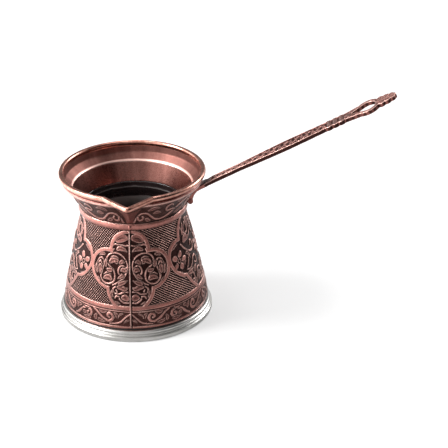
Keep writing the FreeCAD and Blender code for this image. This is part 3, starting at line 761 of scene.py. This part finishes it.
def make_cup(material):
    """Thin dark cup: a plain wall that follows the shell, two turned rings and a rounded floor."""
    wall, floor = 0.6, 1.2
    top = CUP_TOP - 0.02
    outline = trace((0.02, CUP_FLOOR), [
        (35.1, CUP_FLOOR),
        (37.2, CUP_FLOOR + 0.9, 38.05, CUP_FLOOR + 3),
        (38.05, FOOT),
        (37.7, 12, 36.3, 19.5),
        (30.9, 45),
        (29.05, 52, 27.6, WAIST_LOW),
        (27.6, top - 0.2),
        (27.35, top, 27.1, top - 0.2),
        (27, 60.3),
        (26.75, 59.8, 27, 59.3),
        (27, WAIST_LOW),
        (27.9, 55),
        (27.75, 54.6, 28.15, 54.2),
        (28.5, 52, 30.3, 45),
        (36.3 - wall, 19.5),
        (37.7 - wall, 12, 38.05 - wall, FOOT),
        (38.05 - wall, CUP_FLOOR + 4),
        (36.6, CUP_FLOOR + 2, 34.6, CUP_FLOOR + floor),
        (0.02, CUP_FLOOR + floor),
    ], 0.9)
    return turned("inner_cup", outline, 240, material)


# ---- handle

SLOPE = math.radians(26.6)
ROOT_RADIUS, ROOT_HEIGHT = 30.0, 70.6
LENGTH, THICKNESS = 121.9, 2.2
VINE_PITCH, LEAF_PITCH = 6.4, 1.9
SCALLOPS, SCALLOP_START, SCALLOP_PITCH = 3, 81.5, 3.5
SCALLOP_END = SCALLOP_START + SCALLOPS * SCALLOP_PITCH
EYE_START, EYE_MIDDLE, EYE_RADIUS, LOOP_RADIUS = 96.6, 105.6, 4.6, 6.9
CURL, CURL_RADIUS, CURL_HALF_WIDTH = (30.95, 64.3), 1.55, 3.2
LUG_HALF_WIDTH, LUG_BLEND = 2.7, 0.8
LUG_OUTLINE = np.array([(30, 70.6), (39.4, 75.2), (40.2, 73.3), (37.6, 72), (36.2, 71.2), (34.4, 69.9),
                        (33.4, 68.4), (31.35, 63.9), (27, 63.9)])


def handle_outline():
    """Half of the bar's plan from root to tip, mirrored into a closed outline."""
    loop, tip = LOOP_RADIUS, LENGTH
    cusps = [SCALLOP_START + i * SCALLOP_PITCH for i in range(1, SCALLOPS + 1)]
    edge = trace((-5, 2.7), [
        (31, 2.7),
        (44, 3.62, 57, 4.3),
        (69, 4.1, SCALLOP_START, 3.6),
    ] + [(cusp - 0.5 * SCALLOP_PITCH, 4.3, cusp, 3.5) for cusp in cusps] + [
        (EYE_MIDDLE - 0.67 * loop, 0.74 * loop),
        (EYE_MIDDLE + 0.14 * loop, 0.99 * loop, EYE_MIDDLE + 0.85 * loop, 0.53 * loop),
        (tip - 8.7, 4.8, tip - 7, 3.8),
        (tip - 5.3, 4.3, tip - 3.6, 3),
        (tip - 2.3, 3.3, tip - 1, 1.9),
        (tip - 0.25, 1, tip, 0),
    ], 0.6)
    return np.vstack([edge, edge[-2::-1] * [1, -1]])


def eye_outline():
    """Outline of the drop-shaped hole in the loop."""
    shoulder, flank = EYE_MIDDLE - 0.458 * EYE_RADIUS, 0.889 * EYE_RADIUS
    bow_s, bow_y = (EYE_START + shoulder) / 2, 0.56 * flank
    return trace((EYE_START, 0.5), [
        (bow_s, bow_y, shoulder, flank),
        (EYE_MIDDLE + EYE_RADIUS, 0, shoulder, -flank),
        (bow_s, -bow_y, EYE_START, -0.5),
    ], 0.5)


def polygon_distance(x, y, outline):
    """Signed distance to a closed outline, negative inside."""
    distance = np.full(x.shape, 99.0)
    inside = np.zeros(x.shape, bool)
    for begin, end in zip(outline, np.roll(outline, -1, 0)):
        distance = np.minimum(distance, to_segment(x, y, begin, end)[1])
        (ax, ay), (bx, by) = begin, end
        crosses = (ay > y) != (by > y)
        inside ^= crosses & (x < (bx - ax) * (y - ay) / (by - ay or 1e-9) + ax)
    return np.where(inside, -distance, distance)


def rounded(a, b, radius):
    """Overlap of two solids given by signed distances, with a rounded edge."""
    a, b = a + radius, b + radius
    return np.minimum(np.maximum(a, b), 0) + np.hypot(np.maximum(a, 0), np.maximum(b, 0)) - radius


def surface_net(values, origin, step):
    """Quads of the zero surface of a 3-D field: one vertex in each cell that the surface crosses."""
    size = np.array(values.shape) - 1
    total = np.zeros((*size, 3))
    hits = np.zeros(size)
    for axis in range(3):
        low = np.moveaxis(values, axis, 0)[:-1]
        high = np.moveaxis(values, axis, 0)[1:]
        crossed = (low < 0) != (high < 0)
        where = np.where(crossed, low / np.where(crossed, low - high, 1), 0)
        b, c = [i for i in range(3) if i != axis]
        for p, q in np.ndindex(2, 2):
            cut = np.s_[:, p:p + size[b], q:q + size[c]]
            hit = np.moveaxis(crossed[cut], 0, axis)
            hits += hit
            total[..., axis] += np.moveaxis(where[cut], 0, axis) * hit
            total[..., b] += p * hit
            total[..., c] += q * hit
    cells = hits > 0
    number = np.full(cells.shape, -1)
    number[cells] = np.arange(cells.sum())
    place = np.argwhere(cells) + total[cells] / hits[cells][:, None]
    quads = []
    for axis in range(3):
        order = (axis, (axis + 1) % 3, (axis + 2) % 3)
        solid = np.moveaxis(values < 0, order, (0, 1, 2)).astype(int)
        table = np.moveaxis(number, order, (0, 1, 2))
        change = solid[:-1, 1:-1, 1:-1] - solid[1:, 1:-1, 1:-1]
        i, j, k = np.argwhere(change).T
        around_edge = np.stack([table[i, j, k], table[i, j + 1, k],
                                table[i, j + 1, k + 1], table[i, j, k + 1]], -1)
        flip = change[i, j, k] < 0
        around_edge[flip] = around_edge[flip][:, ::-1]
        quads.append(around_edge)
    return origin + place * step, np.vstack(quads)


def waves(x, pitch):
    """Bumps from 0 to 1 and back, one a pitch, with a crest at zero."""
    return 0.5 + 0.5 * np.cos(math.tau * x / pitch)


def handle_relief(s, y, edge):
    """Height of the ornament on the bar's top face, from the plan's place and distance to its edge."""
    rim = smoothstep(0.75, 0.45, -edge)
    turn = math.tau / VINE_PITCH
    swing = 0.42 * np.interp(s, [0, 31, 57, 81, 92], [2.7, 2.7, 4.3, 3.6, 3.5])
    slope = swing * turn * np.cos(turn * s)
    vine = smoothstep(0.6, 0.25, np.abs(y - swing * np.sin(turn * s)) / np.sqrt(1 + slope ** 2))
    bud_s = fold(s, VINE_PITCH / 2)
    bud_y = y + np.sign(np.sin(turn * s)) * swing
    bud = smoothstep(1.0, 0.55, np.hypot(bud_s * 0.9, bud_y * 1.2))
    bar = np.maximum(np.maximum(rim, vine), 0.8 * bud) * smoothstep(11.0, 16.0, s)
    cusps = np.maximum(rim, waves(s - SCALLOP_START - SCALLOP_PITCH / 2, SCALLOP_PITCH))
    bar = np.where((s > SCALLOP_START) & (s < SCALLOP_END), cusps, bar)
    strand = smoothstep(0.2, 0.9, np.abs(-edge - 1.15))
    bar = np.where(s > SCALLOP_END + 1.5, 0.4 + 0.6 * strand, bar)
    leaf = waves(s - 0.9 * np.abs(y), LEAF_PITCH)
    rib = smoothstep(0.7, 0.3, np.abs(y))
    return np.where(s > EYE_MIDDLE + EYE_RADIUS + 0.9, np.maximum(np.maximum(leaf, rib), rim), bar)


def bar_place(s, n):
    """Distance from the pot's axis and height of a point given along and above the sloping bar."""
    return (ROOT_RADIUS + s * math.cos(SLOPE) - n * math.sin(SLOPE),
            ROOT_HEIGHT + s * math.sin(SLOPE) + n * math.cos(SLOPE))


def handle_field(s, y, n, plan, top):
    """Signed distance to bar, lug and curl together, cut away where the neck stands."""
    height, half = n[None, None, :], np.abs(y)[None, :, None]
    slab = np.maximum(height - top[:, :, None], -THICKNESS - height)
    bar = rounded(plan[:, :, None] + 0 * height, slab, 0.18)
    radius, level = bar_place(s[:, None], n[None, :])
    lug = rounded(polygon_distance(radius, level, LUG_OUTLINE)[:, None, :], half - LUG_HALF_WIDTH, 0.5)
    curl = np.hypot(radius - CURL[0], level - CURL[1])[:, None, :]
    roll = rounded(curl - CURL_RADIUS, half - CURL_HALF_WIDTH, 0.6)
    groove = np.abs(curl - 0.85) + np.abs(half - CURL_HALF_WIDTH) - 0.35
    field = np.minimum(-soft_max(-bar, -lug, LUG_BLEND), np.maximum(roll, -groove))
    neck = body_radius(level)[:, None, :] + 0.06 - np.hypot(radius[:, None, :], y[None, :, None])
    return np.maximum(field, neck)


def make_handle(material):
    """The cast bar with loop and leaf, its lug on the neck and the curl at the lug's foot."""
    step = 0.24
    s = np.arange(-6.0, LENGTH + 1.2, step)
    y = np.arange(-8.0, 8.0 + step, step)
    n = np.arange(-11.5, 1.6, step)
    plan_s, plan_y = np.meshgrid(s, y, indexing="ij")
    plan = np.maximum(polygon_distance(plan_s, plan_y, handle_outline()),
                      -polygon_distance(plan_s, plan_y, eye_outline()))
    ornament = handle_relief(plan_s, plan_y, plan)
    top = 0.15 - 0.4 * (1 - ornament)
    vertices, quads = surface_net(handle_field(s, y, n, plan, top), np.array([s[0], y[0], n[0]]), step)

    # what the copper reads: painted highlights on the sides of the cusps and a painted reflection on the
    # loop's sides, edges painted bright (rubbed wear and painted highlight)
    vs, vy, vn = vertices.T
    i = np.clip(((vs - s[0]) / step).astype(int), 0, len(s) - 1)
    j = np.clip(((vy - y[0]) / step).astype(int), 0, len(y) - 1)
    plan, ornament, top = plan[i, j], ornament[i, j], top[i, j]
    on_top = smoothstep(0.4, 0.2, top - vn)
    on_bar = vs > 9.0
    # the loop's sides are painted bright as a reflection, the cusps' sides as a highlight
    loop_side_reflection = smoothstep(92.0, 98.0, vs) * (0.55 + 0.45 * np.sin(2.1 * vs + 0.7 * vy))
    cusps = np.cos(math.pi * (vs - SCALLOP_START) / SCALLOP_PITCH) ** 2 > 0.8
    cusps &= (vs > SCALLOP_START - 1) & (vs < SCALLOP_END + 1)
    side = 0.16 + 0.7 * np.maximum(loop_side_reflection, cusps)
    raised = np.where(on_bar, side + on_top * (0.3 + 0.6 * ornament - side), 0.8)
    near_edge = smoothstep(0.6, 0.15, np.abs(plan))
    lower_edge = smoothstep(0.35, 0.1, np.abs(vn + THICKNESS)) * near_edge
    upper_edge = smoothstep(0.3, 0.1, np.abs(top - vn)) * near_edge
    wear_and_highlight = np.maximum(np.maximum(upper_edge, 0.35 * on_top * ornament), 0.5 * lower_edge) * on_bar
    radius, level = bar_place(vs, vn)
    return make_object("handle_cast", np.column_stack([radius, vy, level]), quads, [material],
                       {"raised": raised, "wear_and_highlight": wear_and_highlight})


LEAN = math.radians(24.3)


def make_rivets(material):
    """Two round-headed rivets through the neck and the lug, as separate solids in one object."""
    grip, seat, head, dome, shank = 3.36, 0.08, 2.0, 0.95, 1.2
    outline = trace((0.02, -seat - dome), [
        (1.35, -seat - 0.62 * dome, head, -seat - 0.12),
        (head - 0.1, -seat),
        (shank, -seat),
        (shank, grip),
        (head - 0.1, grip),
        (head, grip + 0.12),
        (1.35, grip + 0.62 * dome, 0.02, grip + dome),
    ], 0.2)
    columns = 40
    side = np.array([math.sin(LEAN), 0, math.cos(LEAN)])
    across = np.array([0, 1, 0])
    axis = np.array([math.cos(LEAN), 0, -math.sin(LEAN)])
    local = turn_points(outline, columns) @ np.array([side, across, axis])
    faces = ring_quads(len(outline), columns)
    feet = [np.array([27.2 + (height - 63.0) * math.tan(LEAN), 0, height]) for height in (70.7, 66.0)]
    return make_object("rivet_pair", np.vstack([foot + local for foot in feet]),
                       np.vstack([faces, faces + len(local)]), [material])


# ---- materials


def feed(tree, node, inputs):
    """Sets a node's inputs, by name or number, to values or links them to other nodes' sockets."""
    for key, value in inputs.items():
        if isinstance(value, bpy.types.NodeSocket):
            tree.links.new(value, node.inputs[key])
        else:
            node.inputs[key].default_value = value


def add_node(tree, kind, inputs=None, **settings):
    node = tree.nodes.new("ShaderNode" + kind)
    for key, value in settings.items():
        setattr(node, key, value)
    feed(tree, node, inputs or {})
    return node


def empty_tree(owner):
    """The node tree of a new material or world, cleared."""
    owner.use_nodes = True
    owner.node_tree.nodes.clear()
    return owner.node_tree


class Nodes:
    """Short helpers to build a metal's or a coating's material; places are in millimetres."""

    def __init__(self, name):
        self.material = bpy.data.materials.new(name)
        self.tree = empty_tree(self.material)
        self.shader = self.add("BsdfPrincipled")
        self.add("OutputMaterial", {0: self.shader.outputs[0]})
        place = self.add("TexCoord").outputs["Object"]
        self.place = self.add("VectorMath", {0: place, "Scale": 1 / MM}, operation="SCALE").outputs[0]
        self.x, self.y, self.height = self.add("SeparateXYZ", {0: self.place}).outputs

    def add(self, kind, inputs=None, **settings):
        return add_node(self.tree, kind, inputs, **settings)

    def noise(self, size, detail=3.0, rough=0.5, place=None):
        """Noise whose blobs are about size millimetres across."""
        inputs = {"Scale": 1 / size, "Detail": detail, "Roughness": rough, "Vector": place or self.place}
        return self.add("TexNoise", inputs).outputs["Fac"]

    def polar(self, around, along):
        """(angle, radius, height) coordinates about the pot's axis, scaled for turned marks."""
        radius = self.math("SQRT", self.plus(self.times(self.x, self.x), self.times(self.y, self.y)))
        angle = self.math("ARCTAN2", self.y, self.x)
        inputs = [self.times(angle, around), self.times(radius, along), self.times(self.height, along)]
        return self.add("CombineXYZ", dict(enumerate(inputs))).outputs[0]

    def attribute(self, name):
        return self.add("Attribute", attribute_name=name).outputs["Fac"]

    def math(self, operation, a, b=0.0):
        return self.add("Math", {0: a, 1: b}, operation=operation).outputs[0]

    def plus(self, a, b):
        return self.math("ADD", a, b)

    def times(self, a, b):
        return self.math("MULTIPLY", a, b)

    def most(self, a, b):
        return self.math("MAXIMUM", a, b)

    def spread(self, value, low, high, to_low=0.0, to_high=1.0):
        """Maps low..high to to_low..to_high, clamped."""
        inputs = {"Value": value, "From Min": low, "From Max": high, "To Min": to_low, "To Max": to_high}
        return self.add("MapRange", inputs).outputs["Result"]

    def ramp(self, value, *stops):
        """Colours that follow the value; each stop is a position and a colour."""
        node = self.add("ValToRGB", {0: value})
        elements = node.color_ramp.elements
        while len(elements) < len(stops):
            elements.new(0.5)
        for element, (position, colour) in zip(elements, stops):
            element.position = position
            element.color = (*colour, 1)
        return node.outputs["Color"]

    def mix(self, share, a, b, kind="MIX"):
        return self.add("Mix", {0: share, 6: a, 7: b}, data_type="RGBA", blend_type=kind).outputs[2]

    def bump(self, height, distance, strength=1.0):
        inputs = {"Height": height, "Distance": distance * MM, "Strength": strength}
        self.set(Normal=self.add("Bump", inputs).outputs[0])

    def set(self, **values):
        """Feeds the shader; an underscore stands for a space in the name of an input."""
        feed(self.tree, self.shader, {key.replace("_", " "): value for key, value in values.items()})


# CREVICE paints crevices dark (patina and painted shade); the brightest colour below is for rubbed wear and
# painted highlights
CREVICE = (0.004, 0.003, 0.003)
GROUND = (0.026, 0.010, 0.009)
COPPER = (0.24, 0.084, 0.070)
WEAR_AND_HIGHLIGHT_COPPER = (0.94, 0.62, 0.54)


def cast_copper():
    """Antiqued casting: brown copper, darker ground, crevices painted black (patina and painted shade) and
    edges painted bright (rubbed wear and painted highlights).
    """
    n = Nodes("antique_copper_cast")
    blotch = n.noise(5, 4, 0.6)
    grain = n.noise(0.5, 3, 0.65)
    hatch, share = n.attribute("hatch"), n.attribute("falling_share")
    falling = n.times(share, n.math("COSINE", n.attribute("falling_lines")))
    rising = n.times(n.math("SUBTRACT", 1, share), n.math("COSINE", n.attribute("rising_lines")))
    lines = n.plus(falling, rising)
    hatched = n.times(hatch, n.spread(lines, 0.05, 0.7))
    worn = n.plus(n.most(n.attribute("raised"), hatched), n.spread(grain, 0.3, 0.7, -0.22, 0.22))
    colour = n.ramp(worn, (0, GROUND), (0.35, (0.075, 0.028, 0.023)), (0.75, COPPER),
                    (1, (0.36, 0.145, 0.12)))
    # the hatch's ridges painted bright as a highlight
    ridge_highlight = n.times(hatch, n.spread(lines, 0.3, 0.75, 0, 0.7))
    # edges painted bright: rubbed wear and painted highlights
    edge = n.times(n.most(n.attribute("wear_and_highlight"), ridge_highlight), n.spread(grain, 0.3, 0.65, 0.3, 1))
    colour = n.mix(edge, colour, (*WEAR_AND_HIGHLIGHT_COPPER, 1))
    # the hatch's troughs and the crevices painted dark: patina and painted shade
    trough_patina_and_shade = n.times(hatch, n.spread(lines, 0.25, -0.1))
    crevice = n.times(n.most(n.attribute("cavity"), trough_patina_and_shade), n.spread(grain, 0.25, 0.6, 1, 0.94))
    colour = n.mix(crevice, colour, (*CREVICE, 1))
    colour = n.mix(1, colour, n.spread(blotch, 0.3, 0.7, 0.75, 1.15), "MULTIPLY")
    rough = n.plus(n.spread(worn, 0, 1, 0.5, 0.3), n.spread(grain, 0.3, 0.7, -0.06, 0.08))
    sheen = n.times(n.spread(worn, 0.1, 0.8, 0, 0.25), n.spread(crevice, 0.1, 0.7, 1, 0))
    n.set(Base_Color=colour, Metallic=1, Roughness=rough, Coat_Weight=sheen, Coat_Roughness=0.28)
    n.bump(n.plus(n.noise(0.6, 3, 0.6), n.times(hatched, 1.2)), 0.2)
    return n.material


def rim_copper():
    """The rim bead: rubbed, brighter copper with faint hammer-soft unevenness."""
    n = Nodes("antique_copper_rim")
    blotch = n.noise(3.5, 4, 0.6)
    colour = n.ramp(blotch, (0.25, (0.34, 0.135, 0.1)), (0.5, (0.52, 0.25, 0.195)),
                    (0.8, (0.72, 0.42, 0.34)))
    n.set(Base_Color=colour, Metallic=1, Roughness=n.spread(n.noise(2, 2), 0.3, 0.7, 0.19, 0.27))
    n.bump(n.noise(4, 1), 0.03, 0.3)
    return n.material


def inner_copper():
    """Satin copper inside the neck with streaks of painted highlight, a speckled ledge and a painted
    highlight along the ledge's edge.
    """
    n = Nodes("antique_copper_inside")
    # streaks of painted highlight on the neck wall
    streak_highlight = n.noise(1, 3, 0.6, place=n.polar(7, 0.04))
    speck = n.noise(0.5, 2, 0.7)
    colour = n.ramp(streak_highlight, (0.2, (0.1, 0.04, 0.033)), (0.55, (0.18, 0.076, 0.062)),
                    (0.85, (0.3, 0.14, 0.115)))
    colour = n.mix(n.spread(speck, 0.45, 0.75, 0, 0.35), colour, (0.42, 0.21, 0.175, 1))
    # a painted highlight along the ledge's edge
    colour = n.mix(n.attribute("wear_and_highlight"), colour, (*WEAR_AND_HIGHLIGHT_COPPER, 1))
    on_ledge = n.spread(n.height, LEDGE_EDGE - 0.3, LEDGE_EDGE + 0.5, 0, 0.2)
    rough = n.plus(n.spread(speck, 0.3, 0.7, 0.24, 0.38), on_ledge)
    n.set(Base_Color=colour, Metallic=1, Roughness=rough)
    n.bump(n.noise(0.6, 3, 0.6), 0.05, 0.5)
    return n.material


def turned_steel():
    """Bright steel with fine turned lines that run round the base."""
    n = Nodes("turned_steel")
    lines = n.noise(1, 3, 0.6, place=n.polar(0.3, 2))
    colour = n.ramp(n.noise(9), (0.3, (0.5, 0.49, 0.47)), (0.7, (0.66, 0.65, 0.63)))
    n.set(Base_Color=colour, Metallic=1, Roughness=n.spread(lines, 0.3, 0.7, 0.26, 0.33))
    n.bump(lines, 0.001, 0.1)
    return n.material


def black_coating():
    """Glossy black lining with a very slight orange peel, a satin top painted paler as a reflection and a
    pale ring painted as a highlight.
    """
    n = Nodes("black_coating")
    level = n.plus(n.height, n.spread(n.noise(9, 2), 0.3, 0.7, -0.3, 0.3))
    satin = n.spread(level, 53.2, 54.2, 1, 0)
    # a ring painted pale as a highlight, and a band painted paler as a reflection
    ring_highlight = n.spread(n.math("ABSOLUTE", n.math("SUBTRACT", level, 59.8)), 0.15, 0.55, 0.6, 0)
    painted_reflection_band = n.most(n.times(satin, n.spread(level, 46, 53, 0.15, 1)), ring_highlight)
    gloss = n.ramp(n.noise(7), (0.3, (0.012, 0.008, 0.008)), (0.7, (0.024, 0.016, 0.016)))
    colour = n.mix(painted_reflection_band, gloss, (0.25, 0.23, 0.225, 1))
    n.set(Base_Color=colour, Roughness=n.spread(satin, 0, 1, 0.1, 0.42), Specular_IOR_Level=0.5)
    n.bump(n.noise(1.6, 2), 0.02, 0.3)
    return n.material


def mottled(name, noise, dark, light, rough, bump, metallic=0):
    """A plain material: one noise drives its colour, roughness and bump."""
    n = Nodes(name)
    grain = n.noise(*noise)
    colour = n.ramp(grain, (0.3, dark), (0.7, light))
    n.set(Base_Color=colour, Metallic=metallic, Roughness=n.spread(grain, 0.3, 0.7, *rough))
    n.bump(grain, *bump)
    return n.material


def black_seal():
    return mottled("black_seal", (0.4, 2, 0.6), (0.010, 0.009, 0.009), (0.028, 0.025, 0.024),
                   rough=(0.55, 0.75), bump=(0.04, 0.6))


def rivet_metal():
    return mottled("rivet_metal", (0.7, 3, 0.6), (0.60, 0.60, 0.60), (0.86, 0.85, 0.84),
                   rough=(0.20, 0.38), bump=(0.03, 0.5), metallic=1)


# ---- build the object

copper = cast_copper()
pieces = {
    "body_shell": (make_shell([copper, rim_copper(), inner_copper()]), "antique_copper"),
    "base_pan": (make_base(turned_steel()), "steel"),
    "seal_ring": (make_seal(black_seal()), "black_seal"),
    "inner_vessel": (make_cup(black_coating()), "black_coating"),
    "handle": (make_handle(copper), "antique_copper"),
    "handle_rivets": (make_rivets(rivet_metal()), "rivet_metal"),
}
for node, (piece, slot) in pieces.items():
    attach(piece, "root")
    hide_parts(node)

# ---- stage, light and camera

FLOOR_GLOW = 0.41  # to the camera
FLOOR_GREY = 0.45
FLOOR_LEFT = {"From Min": -0.04, "From Max": -0.30, "To Min": 0.1, "To Max": 2.8}  # to the metal, by x


def by_ray(tree, others, camera):
    """One value for camera rays and another for all other rays."""
    path = add_node(tree, "LightPath").outputs["Is Camera Ray"]
    return add_node(tree, "Mix", {"Factor": path, 2: others, 3: camera}).outputs[0]


def make_floor():
    """Pale floor with the pot's shadow; what the metal mirrors of it is bright on the left only."""
    mesh = bpy.data.meshes.new("floor")
    half = 6.0
    mesh.from_pydata([(-half, -half, 0), (half, -half, 0), (half, half, 0), (-half, half, 0)],
                     [], [(0, 1, 2, 3)])
    floor = put("floor", mesh)
    floor.location.z = -0.02 * MM
    material = bpy.data.materials.new("pale_floor")
    tree = empty_tree(material)
    place = add_node(tree, "NewGeometry").outputs["Position"]
    x = add_node(tree, "SeparateXYZ", {0: place}).outputs[0]
    left = add_node(tree, "MapRange", {"Value": x, **FLOOR_LEFT}).outputs["Result"]
    glow = add_node(tree, "Emission", {1: by_ray(tree, left, FLOOR_GLOW)})
    diffuse = add_node(tree, "BsdfDiffuse", {0: (FLOOR_GREY, FLOOR_GREY, FLOOR_GREY, 1)})
    both = add_node(tree, "AddShader", {0: diffuse.outputs[0], 1: glow.outputs[0]})
    add_node(tree, "OutputMaterial", {0: both.outputs[0]})
    mesh.materials.append(material)


ROOM_LIGHTS = [
    # direction, how wide (cosine where it fades out), brightness
    ((-0.95, -0.22, 0.05), 0.40, 4.2),
    ((0.0, 0.15, 1.0), 0.65, 0.6),
    ((0.05, -0.79, 0.62), 0.80, 0.95),
    ((0.80, 0.55, 0.25), 0.72, 1.5),
    ((-0.25, 0.90, 0.35), 0.75, 0.35),
]
ROOM_GREY = 0.02


def make_world():
    """White room to the camera; to the metal it is a grey room with a few broad bright sides."""
    world = bpy.data.worlds.new("studio")
    bpy.context.scene.world = world
    tree = empty_tree(world)
    where = add_node(tree, "TexCoord").outputs["Generated"]
    total = ROOM_GREY
    for direction, width, brightness in ROOM_LIGHTS:
        unit = np.array(direction) / np.linalg.norm(direction)
        facing = add_node(tree, "VectorMath", {0: where, 1: unit}, operation="DOT_PRODUCT").outputs["Value"]
        side = add_node(tree, "MapRange", {"Value": facing, "From Min": width, "To Max": brightness},
                        interpolation_type="SMOOTHSTEP")
        total = add_node(tree, "Math", {0: side.outputs["Result"], 1: total}).outputs[0]
    background = add_node(tree, "Background", {"Strength": by_ray(tree, total, 1.0)})
    add_node(tree, "OutputWorld", {0: background.outputs[0]})


def add_softbox(name, place, size, power):
    """A square area light, aimed at the pot."""
    light = bpy.data.lights.new(name, "AREA")
    light.size = size
    light.energy = power
    lamp = put(name, light)
    lamp.location = place
    lamp.rotation_mode = "QUATERNION"
    lamp.rotation_quaternion = (Vector(place) - Vector((0, 0, 0.05))).to_track_quat("Z", "Y")


CAMERA_PLACE = (49.0, -731.7, 411.5)
CAMERA_PITCH, CAMERA_ROLL = math.radians(26.33), math.radians(-0.32)
CAMERA_LENS, SENSOR = 120.6, 36.0


def make_camera():
    """Long-lens camera at the height and angle of a product photograph."""
    data = bpy.data.cameras.new("camera")
    data.sensor_width = SENSOR
    data.lens = CAMERA_LENS
    data.clip_start = 0.01
    data.clip_end = 100.0
    camera = put("camera", data)
    turn = Matrix.Rotation(math.pi / 2 - CAMERA_PITCH, 4, "X") @ Matrix.Rotation(CAMERA_ROLL, 4, "Z")
    camera.matrix_world = Matrix.Translation(Vector(CAMERA_PLACE) * MM) @ turn
    bpy.context.scene.camera = camera


make_floor()
make_world()
add_softbox("key_left", (-0.80, -0.10, 0.80), size=0.45, power=14.0)
add_softbox("back_right", (0.75, 0.55, 0.55), size=0.35, power=5.0)
add_softbox("top", (-0.1, 0.35, 1.1), size=0.6, power=5.0)
make_camera()
bpy.context.scene.view_settings.view_transform = "Standard"
